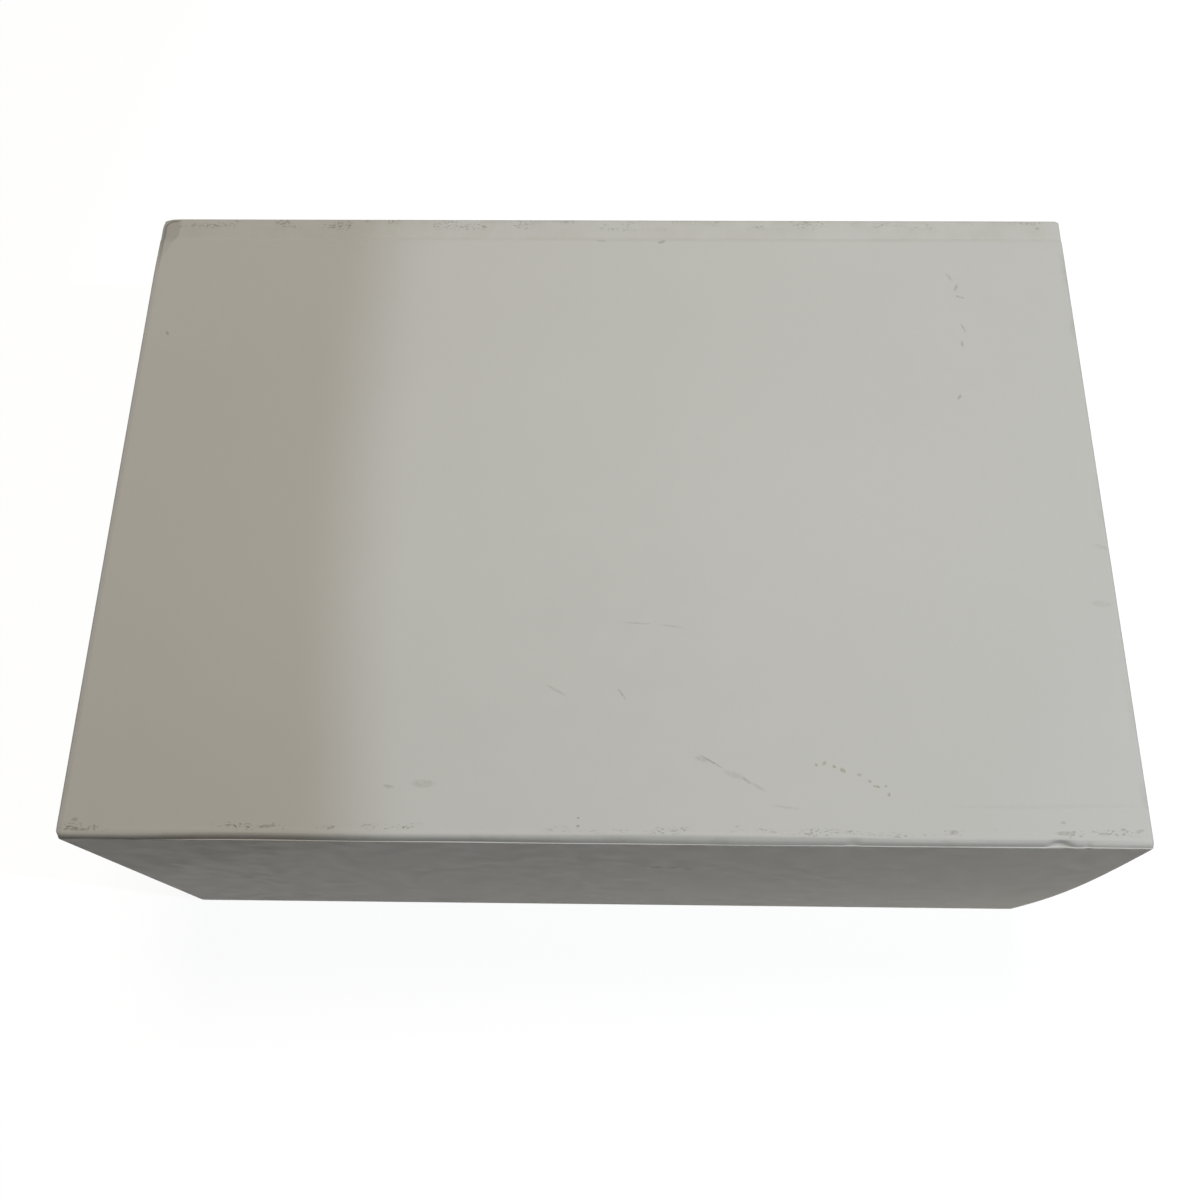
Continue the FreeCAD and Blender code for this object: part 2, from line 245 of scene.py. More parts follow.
def grid_faces(rows, columns, turned=False, first=0):
    """Faces of a grid of points that are numbered along its rows, turned to face the other way if asked."""
    faces = []
    for i in range(rows - 1):
        for j in range(columns - 1):
            a = first + i * columns + j
            b = a + columns
            faces.append([a, a + 1, b + 1, b] if turned else [a, b, b + 1, a + 1])
    return faces


def lattice(us, vs, ws):
    """Points and outward faces of a block's skin, each face with the name of its side."""
    index = {}
    points = []

    def at(i, j, k):
        if (i, j, k) not in index:
            index[(i, j, k)] = len(points)
            points.append((us[i], vs[j], ws[k]))
        return index[(i, j, k)]

    def face(side, *spots):
        faces.append((side, [at(*spot) for spot in spots]))

    last_u, last_v, last_w = len(us) - 1, len(vs) - 1, len(ws) - 1
    faces = []
    for i in range(last_u):
        for j in range(last_v):
            face("outer", (i, j, last_w), (i + 1, j, last_w), (i + 1, j + 1, last_w), (i, j + 1, last_w))
            face("inner", (i, j, 0), (i, j + 1, 0), (i + 1, j + 1, 0), (i + 1, j, 0))
    for j in range(last_v):
        for k in range(last_w):
            face("side", (0, j, k), (0, j, k + 1), (0, j + 1, k + 1), (0, j + 1, k))
            face("side", (last_u, j, k), (last_u, j + 1, k), (last_u, j + 1, k + 1), (last_u, j, k + 1))
    for i in range(last_u):
        for k in range(last_w):
            face("start", (i, 0, k), (i + 1, 0, k), (i + 1, 0, k + 1), (i, 0, k + 1))
            face("end", (i, last_v, k), (i, last_v, k + 1), (i + 1, last_v, k + 1), (i + 1, last_v, k))
    return np.array(points), faces


def edge_lines(round_size):
    """Distances from a papered edge at which a panel's mesh has lines, up to the turned-in paper's end."""
    return [round_size * part for part in ROUND_STOPS] + FLAT_STOPS + [TURN_IN]


def lines(*groups):
    """Places in order, with those that nearly meet merged."""
    kept = []
    for value in sorted(value for group in groups for value in group):
        if not kept or value - kept[-1] > MERGE:
            kept.append(value)
    return kept


def spread(start, end, step):
    """Even places from start to end, ends left out."""
    count = max(int(round((end - start) / step)), 1)
    return [start + (end - start) * n / count for n in range(1, count)]


def even(start, end, step):
    """Even places from start to end, ends included."""
    return [start] + spread(start, end, step) + [end]


def share(part, whole):
    """A part over a whole, where there is one."""
    return part / np.where(whole > 0, whole, 1.0)


def round_edges(points, half, end, low, high, edge, corner, end_wrapped):
    """Draw a panel's square corners and edges onto their rounds, in its own frame: across, run, outward."""
    across, run, out = points.T.copy()
    sign = np.where(across < 0, -1.0, 1.0)
    from_side = half - np.abs(across)
    from_end = end - run if end_wrapped else np.full_like(run, 1.0)
    from_edge = np.minimum(from_side, from_end)
    toward_side = np.clip(corner - from_side, 0.0, None)
    toward_end = np.clip(corner - from_end, 0.0, None)
    reach = np.hypot(toward_side, toward_end)
    both = (toward_side > 0) & (toward_end > 0)
    shrink = np.where(both, share(np.maximum(toward_side, toward_end), reach), 1.0)
    nearer_side = from_side <= from_end
    side_out = np.where(both, share(toward_side, reach), np.where(nearer_side, 1.0, 0.0))
    end_out = np.where(both, share(toward_end, reach), np.where(nearer_side, 0.0, 1.0))
    from_side = np.where(both, corner - toward_side * shrink, from_side)
    from_end = np.where(both, corner - toward_end * shrink, from_end)
    for face, facing in ((high, 1.0), (low, -1.0)):
        from_face = (face - out) * facing
        side_part = np.clip(edge - from_edge, 0.0, None)
        face_part = np.clip(edge - from_face, 0.0, None)
        turn = (side_part > 0) & (face_part > 0)
        length = np.hypot(side_part, face_part)
        pull = np.where(turn, share(np.maximum(side_part, face_part), length), 1.0)
        inward = side_part * (1.0 - pull)
        from_side = from_side + inward * side_out
        from_end = from_end + inward * end_out
        out = out - facing * np.where(turn, face_part * (1.0 - pull), 0.0)
    across = sign * (half - from_side)
    run = end - from_end if end_wrapped else run
    return np.stack((across, run, out), axis=1)


def place(points, origin, run, outward):
    """Take a panel from its own frame to the box's."""
    run = np.array(run, dtype=float)
    outward = np.array(outward, dtype=float)
    across = np.cross(run, outward)
    return np.array(origin) + points @ np.stack((across, run, outward))


def run_lines(start, end, end_wrapped, edge, fine_end=0.0):
    """Places along a panel's run at which its mesh has lines."""
    near_end = [end - size for size in edge_lines(edge)] if end_wrapped else [end]
    stop = min(near_end)
    fine = spread(stop - fine_end, stop, FINE_STEP) + [stop - fine_end] if fine_end else []
    coarse = [start] + spread(start, stop - fine_end, PANEL_STEP)
    return lines(coarse, fine, near_end)


def cross_lines(half, edge):
    """Places across a panel at which its mesh has lines."""
    sides = edge_lines(edge)
    inner = half - max(sides)
    return lines([-half + s for s in sides], spread(-inner, inner, PANEL_STEP), [half - s for s in sides])


def papered_panel(name, spot, start, end, end_wrapped, material, edge=EDGE_ROUND, fine_end=0.0, shape=settle):
    """Paper over a board: around its sides and its wrapped end, and turned in under it."""
    low, high = -PAPER, BOARD + PAPER
    rounds = [edge * part for part in ROUND_STOPS]
    us = cross_lines(HALF, edge)
    vs = run_lines(start, end, end_wrapped, edge, fine_end)
    ws = sorted([low + r for r in rounds] + [high - r for r in rounds])
    points, faces = lattice(us, vs, ws)
    middle = np.array([points[loop].mean(axis=0) for _, loop in faces])
    bare_end = end - TURN_IN if end_wrapped else end
    bare = (np.abs(middle[:, 0]) < HALF - TURN_IN) & (middle[:, 1] < bare_end)
    open_sides = ("start",) if end_wrapped else ("start", "end")
    kept = []
    for (side, loop), hole in zip(faces, bare):
        if side not in open_sides and not (side == "inner" and hole):
            kept.append(loop)
    points = round_edges(points, HALF, end, low, high, edge, CORNER_ROUND, end_wrapped)
    points = shape(place(points, *spot))
    return build(name, *used(points, kept), material, PAPER)


def used(points, faces):
    """Leave out points that no face uses."""
    wanted = sorted({corner for loop in faces for corner in loop})
    renumber = {old: new for new, old in enumerate(wanted)}
    return points[wanted], [[renumber[corner] for corner in loop] for loop in faces]


def board_panel(name, spot, end, end_round, material, edge, fine_end, shape=None):
    """A greyboard panel with its long edges rounded, and its far edge where that is asked for."""
    half = HALF - PAPER
    rounds = [edge * part for part in BOARD_STOPS]
    us = cross_lines(half, edge)
    vs = run_lines(0.0, end, end_round, edge, fine_end)
    points, faces = lattice(us, vs, sorted(rounds + [BOARD - r for r in rounds]))
    points = place(round_edges(points, half, end, 0.0, BOARD, edge, CORNER_ROUND, end_round), *spot)
    points = shape(points) if shape else points
    return build(name, settle(points), [loop for _, loop in faces], material)


def lining(name, spot, half, start, end, bare_half, bare_end, material, bumps=(), shape=settle):
    """Liner paper inside a panel: down on the bare board, up over turned-in paper, and proud over magnets."""
    over_step = (-TURN_STEP, -TURN_STEP / 2, 0.0)
    side_steps = [side * (bare_half + d) for side in (-1, 1) for d in over_step]
    us = lines(even(-half, half, LINER_STEP), side_steps)
    vs = lines(even(start, end, LINER_STEP), [bare_end + d for d in over_step if bare_end < end])
    for centre_u, centre_v, radius in bumps:
        us = lines(us, [centre_u + radius * part for part in BUMP_STOPS])
        vs = lines(vs, [centre_v + radius * part for part in BUMP_STOPS])
    grid_u, grid_v = np.meshgrid(us, vs, indexing="ij")
    over = ease(bare_half - TURN_STEP, bare_half, np.abs(grid_u))
    if bare_end < end:
        over = np.maximum(over, ease(bare_end - TURN_STEP, bare_end, grid_v))
    depth = -PAPER - PAPER * over
    for centre_u, centre_v, radius in bumps:
        from_centre = np.hypot(grid_u - centre_u, grid_v - centre_v)
        depth -= MAGNET_PROUD * (1.0 - ease(0.85 * radius, 1.15 * radius, from_centre))
    points = np.stack((grid_u, grid_v, depth), axis=-1).reshape(-1, 3)
    faces = grid_faces(len(us), len(vs), turned=True)
    return build(name, shape(place(points, *spot)), faces, material, PAPER)


def bowed(name, node, material):
    """A copy of a solid inside the flap, cut into short lengths that follow the flap's bow."""
    solid = bmesh.new()
    solid.from_mesh(bpy.data.objects[node].data)
    bmesh.ops.remove_doubles(solid, verts=solid.verts, dist=SAME_POINT)
    low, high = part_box(node)
    cuts = [((0, 0, spot), (0, 0, 1)) for spot in spread(low[Z], high[Z], BOW_STEP_UP)]
    cuts += [((spot, 0, 0), (1, 0, 0)) for spot in spread(low[X], high[X], BOW_STEP_ALONG)]
    for spot, facing in cuts:
        whole = solid.verts[:] + solid.edges[:] + solid.faces[:]
        bmesh.ops.bisect_plane(solid, geom=whole, dist=SAME_POINT, plane_co=spot, plane_no=facing)
    solid.verts.index_update()
    points = np.array([vert.co[:] for vert in solid.verts])
    faces = [[vert.index for vert in face.verts] for face in solid.faces]
    solid.free()
    return build(name, bow(points), faces, material)


def fold_path(corners, radii, line_steps=3, arc_steps=6):
    """Points along a folded path of (y, z) corners, each inner corner drawn as an arc of its radius."""
    corners = [np.array(c, dtype=float) for c in corners]
    result = [corners[0]]

    def line_to(finish, steps):
        begin = result[-1]
        for n in range(1, steps + 1):
            result.append(begin + (finish - begin) * n / steps)

    for index, radius in enumerate(radii):
        corner = corners[index + 1]
        to_before = corners[index] - corner
        to_after = corners[index + 2] - corner
        to_before = to_before / np.linalg.norm(to_before)
        to_after = to_after / np.linalg.norm(to_after)
        half_angle = math.acos(float(np.clip(to_before @ to_after, -1.0, 1.0))) / 2
        reach = radius / math.tan(half_angle)
        line_to(corner + to_before * reach, line_steps)
        middle_line = (to_before + to_after) / np.linalg.norm(to_before + to_after)
        centre = corner + middle_line * (radius / math.sin(half_angle))
        first = result[-1] - centre
        last = corner + to_after * reach - centre
        sweep = math.atan2(first[0] * last[1] - first[1] * last[0], first @ last)
        for n in range(1, arc_steps + 1):
            turn = sweep * n / arc_steps
            cos, sin = math.cos(turn), math.sin(turn)
            spot = (first[0] * cos - first[1] * sin, first[0] * sin + first[1] * cos)
            result.append(centre + np.array(spot))
    line_to(corners[-1], line_steps)
    return np.array(result)


def right_of(path):
    """Unit directions to the right of a path, which is the paper's inner side."""
    ahead = np.gradient(path, axis=0)
    ahead = ahead / np.linalg.norm(ahead, axis=1, keepdims=True)
    return np.stack((ahead[:, 1], -ahead[:, 0]), axis=1)


def fold_strip(name, xs, path_at, thickness_at, material, shape=None):
    """Paper folded along X, as a closed shell: its path and thickness may change along the strip."""
    outer = []
    inner = []
    for x in xs:
        path = path_at(x)
        side = right_of(path)
        under = path + side * thickness_at(x)
        outer.append(np.column_stack((np.full(len(path), x), path)))
        inner.append(np.column_stack((np.full(len(path), x), under)))
    outer = np.array(outer)
    inner = np.array(inner)
    rows, columns = outer.shape[:2]
    points = np.concatenate((outer.reshape(-1, 3), inner.reshape(-1, 3)))
    if shape:
        points = shape(points)
    inside = rows * columns
    faces = grid_faces(rows, columns) + grid_faces(rows, columns, turned=True, first=inside)
    for j in range(columns - 1):
        a = j
        b = (rows - 1) * columns + j
        faces.append([a, a + 1, inside + a + 1, inside + a])
        faces.append([b, inside + b, inside + b + 1, b + 1])
    for i in range(rows - 1):
        a = i * columns
        b = a + columns
        faces.append([a, inside + a, inside + b, b])
        a, b = a + columns - 1, b + columns - 1
        faces.append([a, b, inside + b, inside + a])
    strip = build(name, settle(points), faces, material)
    remember_rest(strip)
    return strip


def strip_places(half, step, close=()):
    """Places along a fold at which its mesh has lines: close at the ends and around each given place."""
    inner = half - FOLD_END_STOPS[-1]
    places = [-half + d for d in FOLD_END_STOPS] + [half - d for d in FOLD_END_STOPS]
    places += spread(-inner, inner, step)
    for centre, reach, fine in close:
        places = [p for p in places if abs(p - centre) > reach] + [centre - reach, centre + reach]
        places += spread(centre - reach, centre + reach, fine)
    return lines(places)


# Finishes

def join(tree, value, socket):
    """Join a socket to another, or set it."""
    if isinstance(value, bpy.types.NodeSocket):
        tree.links.new(value, socket)
    else:
        socket.default_value = value


def add_node(tree, kind, inputs=(), **settings):
    """A node in a tree, with its settings, and its inputs set or joined."""
    made = tree.nodes.new(kind)
    for key, value in settings.items():
        setattr(made, key, value)
    for key, value in dict(inputs).items():
        join(tree, value, made.inputs[key])
    return made


def bare_tree(owner):
    """The empty node tree of a material or a world."""
    owner.use_nodes = True
    owner.node_tree.nodes.clear()
    return owner.node_tree


class Finish:
    """A node material under construction, with a short way to add and join nodes."""

    def __init__(self, name):
        self.material = bpy.data.materials.new(name)
        self.tree = bare_tree(self.material)
        self.shader = self.node("ShaderNodeBsdfPrincipled")
        self.node("ShaderNodeOutputMaterial", {"Surface": self.shader.outputs["BSDF"]})

    def node(self, kind, inputs=(), **settings):
        return add_node(self.tree, kind, inputs, **settings)

    def places(self, attribute=None):
        """The coordinates that every pattern reads: the piece's own, or its paper's before it bent."""
        if attribute:
            return self.node("ShaderNodeAttribute", attribute_name=attribute).outputs["Vector"]
        return self.node("ShaderNodeTexCoord").outputs["Object"]

    def noise(self, vector, scale, detail=2.0, roughness=0.5, distortion=0.0):
        inputs = {"Vector": vector, "Scale": scale, "Detail": detail, "Roughness": roughness}
        inputs["Distortion"] = distortion
        return self.node("ShaderNodeTexNoise", inputs).outputs["Fac"]

    def ramp(self, value, low, high, to_low=0.0, to_high=1.0):
        inputs = {"Value": value, "From Min": low, "From Max": high, "To Min": to_low, "To Max": to_high}
        return self.node("ShaderNodeMapRange", inputs, interpolation_type="SMOOTHSTEP").outputs["Result"]

    def math(self, operation, first, second=0.0, third=0.0):
        inputs = {0: first, 1: second, 2: third}
        return self.node("ShaderNodeMath", inputs, operation=operation).outputs["Value"]

    def plus(self, first, second):
        return self.math("ADD", first, second)

    def minus(self, first, second):
        return self.math("SUBTRACT", first, second)

    def times(self, first, second):
        return self.math("MULTIPLY", first, second)

    def most(self, first, second):
        return self.math("MAXIMUM", first, second)

    def vector(self, operation, first, second, result="Vector"):
        inputs = {0: first, 1: second}
        return self.node("ShaderNodeVectorMath", inputs, operation=operation).outputs[result]

    def mix(self, factor, first, second):
        made = self.node("ShaderNodeMix", data_type="RGBA")
        for key, kind, value in (("Factor", "VALUE", factor), ("A", "RGBA", first), ("B", "RGBA", second)):
            join(self.tree, value, [s for s in made.inputs if s.name == key and s.type == kind][0])
        return [s for s in made.outputs if s.type == "RGBA"][0]

    def bump(self, height, distance, strength=1.0, normal=None):
        inputs = {"Height": height, "Distance": distance, "Strength": strength}
        if normal:
            inputs["Normal"] = normal
        return self.node("ShaderNodeBump", inputs).outputs["Normal"]

    def stroke(self, place_of, centre, size, angle, strength, upright):
        """A soft oval on the lid, or upright on the flap: sizes in millimetres, turn in degrees."""
        cos, sin = math.cos(math.radians(angle)), math.sin(math.radians(angle))
        long, short = size[0] * MM, size[1] * MM
        rows = [(centre[0] * MM, centre[1] * MM), (cos / long, sin / long), (-sin / short, cos / short)]
        middle, along, across = [(a, 0.0, b) if upright else (a, b, 0.0) for a, b in rows]
        away = self.vector("SUBTRACT", place_of, middle)
        along = self.vector("DOT_PRODUCT", away, along, "Value")
        across = self.vector("DOT_PRODUCT", away, across, "Value")
        square = self.math("MULTIPLY_ADD", along, along, self.times(across, across))
        return self.ramp(square, 1.3, 0.2, 0.0, strength)

    def strokes(self, place_of, marks, upright=False):
        """The strongest of several strokes at each place."""
        total = 0.0
        for centre, size, angle, strength in marks:
            total = self.most(self.stroke(place_of, centre, size, angle, strength, upright), total)
        return total

    def scuffed_row(self, vector, along_y, line, reach, seed):
        """A broken row of scuffs where a board's edge has rubbed through from below."""
        inputs = {"Vector": vector, "Location": (seed, seed, seed), "Scale": (0.45, 1.0, 1.0)}
        drawn_out = self.node("ShaderNodeMapping", inputs).outputs["Vector"]
        wander = self.times(self.minus(self.noise(drawn_out, 90.0, 2.0), 0.5), 4 * MM)
        away = self.math("ABSOLUTE", self.minus(self.plus(along_y, wander), line))
        groups = self.ramp(self.noise(drawn_out, 170.0, 2.0), 0.48, 0.60)
        bits = self.ramp(self.noise(drawn_out, 2100.0, 2.0, 0.6), 0.57, 0.63)
        return self.times(self.ramp(away, reach, 0.35 * reach), self.times(groups, bits))

    def give(self, **sockets):
        """Set or join the shader's own sockets."""
        for name, value in sockets.items():
            join(self.tree, value, self.shader.inputs[name.replace("_", " ").title().replace("Ior", "IOR")])
        return self.material


def shade(colour, level):
    """A colour made lighter or darker, with alpha."""
    return tuple(part * level for part in colour) + (1.0,)


COVER = (0.60, 0.594, 0.567)
# Dark colour for grime, also used for painted shade at the lid's knocked corner and for a faint step line
GRIME_AND_SHADE = (0.20, 0.185, 0.155)
STAIN = (0.27, 0.235, 0.10)

# Marks on the lid: centre and half sizes in millimetres, turn in degrees, strength
SCRATCHES = [
    ((33.5, -89.3), (4.6, 0.26), -31.0, 0.58),
    ((31.0, -88.7), (3.0, 0.8), -15.0, 0.22),
    ((40.5, -93.4), (3.7, 1.0), -20.0, 0.2),
    ((44.0, -95.0), (2.2, 0.5), -37.0, 0.32),
    ((47.5, -97.0), (2.9, 0.6), -30.0, 0.2),
    ((11.0, -44.3), (5.0, 0.35), -3.0, 0.22),
    ((22.0, -45.2), (4.2, 0.35), -7.0, 0.22),
    ((-14.5, -67.0), (3.8, 0.45), -30.0, 0.26),
    ((6.0, -68.0), (2.4, 0.3), -55.0, 0.5),
    ((122.5, 89.0), (2.1, 0.8), -58.0, 0.2),
    ((124.5, 84.5), (1.9, 0.65), 68.0, 0.35),
    ((125.5, 80.5), (1.9, 0.4), -20.0, 0.45),
    ((125.5, 67.5), (2.1, 0.35), -70.0, 0.4),
    ((124.5, 61.0), (1.3, 0.55), 89.0, 0.45),
    ((121.5, 39.5), (1.3, 0.5), 56.0, 0.45),
    ((-156.0, 64.0), (1.0, 0.55), -60.0, 0.5),
    ((-54.5, -97.0), (4.0, 1.4), 0.0, 0.22),
    ((-65.0, -98.0), (1.8, 0.6), -11.0, 0.32),
    ((56.0, -103.2), (4.5, 0.5), -7.0, 0.16),
    # A faint dark line along the front at the right: painted shade of a small step in the paper
    ((134.0, -102.2), (33.0, 0.7), 0.8, 0.06),
    ((162.0, -16.5), (2.8, 0.9), -18.0, 0.14),
    ((159.5, -36.5), (3.6, 1.2), -5.0, 0.12),
    ((-2.5, 104.5), (1.8, 0.6), -5.0, 0.3),
    ((19.5, 104.0), (1.6, 0.7), 20.0, 0.45),
]
SPECKS = [
    ((65.5, -90.0), (0.6, 0.5), -47.0, 0.5),
    ((68.0, -89.5), (0.9, 0.6), 41.0, 0.58),
    ((71.0, -90.5), (0.6, 0.5), -67.0, 0.65),
    ((73.5, -91.7), (1.1, 0.7), -44.0, 0.65),
    ((78.5, -93.0), (0.7, 0.6), 0.0, 0.4),
    ((81.5, -95.0), (0.6, 0.4), -27.0, 0.65),
    ((83.5, -96.6), (1.1, 0.4), -12.0, 0.65),
    ((86.3, -96.4), (0.5, 0.4), 0.0, 0.58),
    ((87.0, -99.0), (0.7, 0.55), 89.0, 0.58),
]
FRONT_SCUFFS = [
    ((138.5, -107.0), (1.0, 0.5), -9.0, 0.28),
    ((138.5, -110.2), (2.9, 0.7), 0.0, 0.36),
    ((150.0, -110.3), (1.7, 0.45), 0.0, 0.38),
    ((156.0, -109.0), (1.0, 0.5), 6.0, 0.4),
    ((161.0, -109.3), (1.5, 0.5), 13.0, 0.32),
    ((105.6, -110.3), (1.6, 0.8), -5.0, 0.35),
    ((-158.0, -112.0), (3.5, 0.5), 0.0, 0.5),
    ((-161.5, -111.8), (1.0, 0.4), 34.0, 0.6),
    ((-159.5, -109.0), (1.2, 0.65), 9.0, 0.4),
    ((-101.0, -110.5), (3.0, 0.5), 5.0, 0.6),
    ((-81.5, -110.7), (1.4, 0.5), 19.0, 0.55),
    ((-7.0, -107.0), (0.5, 0.35), 0.0, 0.6),
    ((-7.0, -109.5), (0.5, 0.4), 0.0, 0.7),
]
FLAP_STREAKS = [
    ((13.0, 100.8), (2.2, 1.4), 6.0, 0.45),
    ((18.0, 100.4), (2.3, 1.9), 0.0, 0.55),
    ((23.0, 100.2), (2.4, 1.9), 0.0, 0.55),
    ((28.5, 97.5), (2.6, 1.6), -12.0, 0.45),
    ((20.0, 48.0), (3.2, 1.8), 0.0, 0.3),
]
FRONT_RUB = -110.7 * MM        # line over the lid board's front edge
BACK_RUB = 112.2 * MM          # line over the spine board's top edge


def cover_paper(name, attribute=None, lid=False, flap=False):
    """Matte laminated white paper: faint clouds and fibres, handled edges, and the lid's or flap's wear, with
    some painted shade on the lid.
    """
    f = Finish(name)
    place_of = f.places(attribute)
    clouds = f.noise(place_of, 9.0, 3.0, 0.55)
    mottle = f.noise(place_of, 130.0, 4.0, 0.6)
    fibre = f.noise(place_of, 1700.0, 2.0, 0.6)
    tone = f.math("MULTIPLY_ADD", clouds, 0.10, 0.90)
    tone = f.plus(tone, f.times(f.minus(mottle, 0.5), 0.05))
    tone = f.plus(tone, f.times(f.minus(fibre, 0.5), 0.03))
    paper = f.mix(f.ramp(tone, 0.88, 1.02), shade(COVER, 0.955), shade(COVER, 1.035))

    # Grime along the edges, where two of the box's faces meet
    split = f.node("ShaderNodeSeparateXYZ", {"Vector": place_of}).outputs
    from_side = f.minus(HALF, f.math("ABSOLUTE", split["X"]))
    middle_y = (FRONT + BACK) / 2
    from_front = f.minus((BACK - FRONT) / 2, f.math("ABSOLUTE", f.minus(split["Y"], middle_y)))
    from_top = f.minus(LID_TOP / 2, f.math("ABSOLUTE", f.minus(split["Z"], LID_TOP / 2)))
    lesser = f.math("MINIMUM", from_side, from_front)
    greater = f.most(from_side, from_front)
    from_edge = f.most(lesser, f.math("MINIMUM", greater, from_top))
    patchy = f.noise(place_of, 75.0, 4.0, 0.65)
    rubbed = f.times(f.ramp(from_edge, 3.0 * MM, 0.2 * MM), f.ramp(patchy, 0.50, 0.70, 0.0, 0.25))
    handled = f.times(f.ramp(from_edge, 1.2 * MM, 0.4 * MM), f.ramp(patchy, 0.35, 0.65, 0.16, 0.34))
    paper = f.mix(f.most(rubbed, handled), paper, shade(GRIME_AND_SHADE, 1.2))

    tooth = f.bump(fibre, 0.025 * MM, 0.6)
    surface = f.bump(f.noise(place_of, 45.0, 2.0, 0.5), 0.10 * MM, 0.3, tooth)
    if lid:
        paper, surface = lid_wear(f, place_of, split, patchy, paper, surface)
    if flap:
        streaks = f.times(f.strokes(place_of, FLAP_STREAKS, upright=True), f.ramp(fibre, 0.4, 0.55))
        paper = f.mix(streaks, paper, shade(GRIME_AND_SHADE, 0.6))
    rough = f.ramp(mottle, 0.3, 0.7, 0.52, 0.62)
    return f.give(base_color=paper, roughness=rough, normal=surface, specular_ior_level=0.22)


def lid_wear(f, place_of, split, patchy, paper, surface):
    """The lid's scratches and specks, its scuffed rows, the dull back strip, the knocked corner's grime and
    painted shade, and a painted shade line of a small step.
    """
    on_top = f.ramp(split["Z"], LID_TOP - 2.0 * MM, LID_TOP - 1.2 * MM)
    strip = f.ramp(split["Y"], LID_BACK + 0.8 * MM, LID_BACK + 1.8 * MM)
    paper = f.mix(f.times(strip, f.ramp(patchy, 0.35, 0.70, 0.0, 0.10)), paper, shade(STAIN, 1.2))
    front_row = f.scuffed_row(place_of, split["Y"], FRONT_RUB, 1.5 * MM, 0.31)
    back_row = f.scuffed_row(place_of, split["Y"], BACK_RUB, 3.4 * MM, 0.57)
    rows = f.times(f.most(front_row, back_row), on_top)

    # Painted shadow: a dark line round the knocked corner, where its paper folds; and darker beyond its
    # crease, where the paper bends down, partly grime and partly painted shade
    past_side = f.most(f.minus(KNOCK_CORNER - HALF, split["X"]), 0.0)
    past_back = f.most(f.minus(split["Y"], BACK - KNOCK_CORNER), 0.0)
    past = f.math("SQRT", f.math("MULTIPLY_ADD", past_side, past_side, f.times(past_back, past_back)))
    from_line = f.math("ABSOLUTE", f.minus(past, KNOCK_CORNER - 1.5 * MM))
    line = f.times(f.ramp(from_line, 0.7 * MM, 0.25 * MM), f.ramp(split["Y"], 88 * MM, 107 * MM, 0.1, 0.7))
    line = f.times(line, f.ramp(split["X"], -157 * MM, -160 * MM))
    over_lid = f.vector("SUBTRACT", place_of, (KNOCK_TURN[0], KNOCK_TURN[1], 0.0))
    over_lid = f.vector("DOT_PRODUCT", over_lid, (KNOCK_AWAY[0], KNOCK_AWAY[1], 0.0), "Value")
    beyond = f.math("MINIMUM", f.minus(KNOCK_SIDE, split["X"]), over_lid)
    knocked = f.times(f.ramp(beyond, -0.2 * MM, 0.5 * MM), f.ramp(split["Y"], 102 * MM, 105 * MM, 0.10, 0.24))

    # Marks, broken up by the paper's grain, and the flaked rows, which are stronger at the left
    broken = f.ramp(f.noise(place_of, 1000.0, 3.0, 0.6), 0.34, 0.58, 0.35, 1.0)
    broken = f.times(broken, on_top)
    scuffs = f.times(f.strokes(place_of, SCRATCHES + FRONT_SCUFFS), broken)
    flaked = f.times(rows, f.ramp(split["X"], -90 * MM, -10 * MM, 0.75, 0.42))
    # Painted shade of the knocked corner's fold and bend goes in with the flaked rows and the marks, in the
    # grime colour
    dark = f.most(f.most(line, knocked), flaked)
    paper = f.mix(f.most(dark, scuffs), paper, shade(GRIME_AND_SHADE, 1.0))
    paper = f.mix(f.times(f.strokes(place_of, SPECKS), broken), paper, shade(STAIN, 1.0))
    return paper, f.bump(f.minus(1.0, rows), 0.10 * MM, 0.8, surface)


def liner_paper(name, attribute=None):
    """Uncoated white paper inside the box."""
    f = Finish(name)
    place_of = f.places(attribute)
    clouds = f.noise(place_of, 14.0, 3.0, 0.55)
    fibre = f.noise(place_of, 1300.0, 3.0, 0.65)
    mottle = f.noise(place_of, 220.0, 4.0, 0.6)
    tone = f.plus(f.times(clouds, 0.5), f.times(f.plus(mottle, fibre), 0.25))
    paper = f.mix(f.ramp(tone, 0.3, 0.7), (0.615, 0.61, 0.583, 1.0), (0.655, 0.652, 0.63, 1.0))
    tooth = f.bump(fibre, 0.03 * MM, 0.7)
    board = f.bump(f.noise(place_of, 60.0, 3.0, 0.5), 0.1 * MM, 0.5, tooth)
    return f.give(base_color=paper, roughness=f.ramp(mottle, 0.3, 0.7, 0.66, 0.78), normal=board)


def greyboard():
    """Pressed grey board: felted fibres and pale and dark flecks."""
    f = Finish("greyboard")
    place_of = f.places()
    felt = f.noise(place_of, 420.0, 5.0, 0.7, 0.6)
    fleck = f.ramp(f.noise(place_of, 1500.0, 2.0, 0.5), 0.62, 0.7)
    grey = f.mix(f.ramp(felt, 0.3, 0.7), (0.31, 0.283, 0.246, 1.0), (0.41, 0.378, 0.334, 1.0))
    grey = f.mix(f.times(fleck, 0.5), grey, (0.52, 0.49, 0.44, 1.0))
    rough = f.ramp(felt, 0.3, 0.7, 0.82, 0.95)
    return f.give(base_color=grey, roughness=rough, normal=f.bump(felt, 0.08 * MM, 0.8))


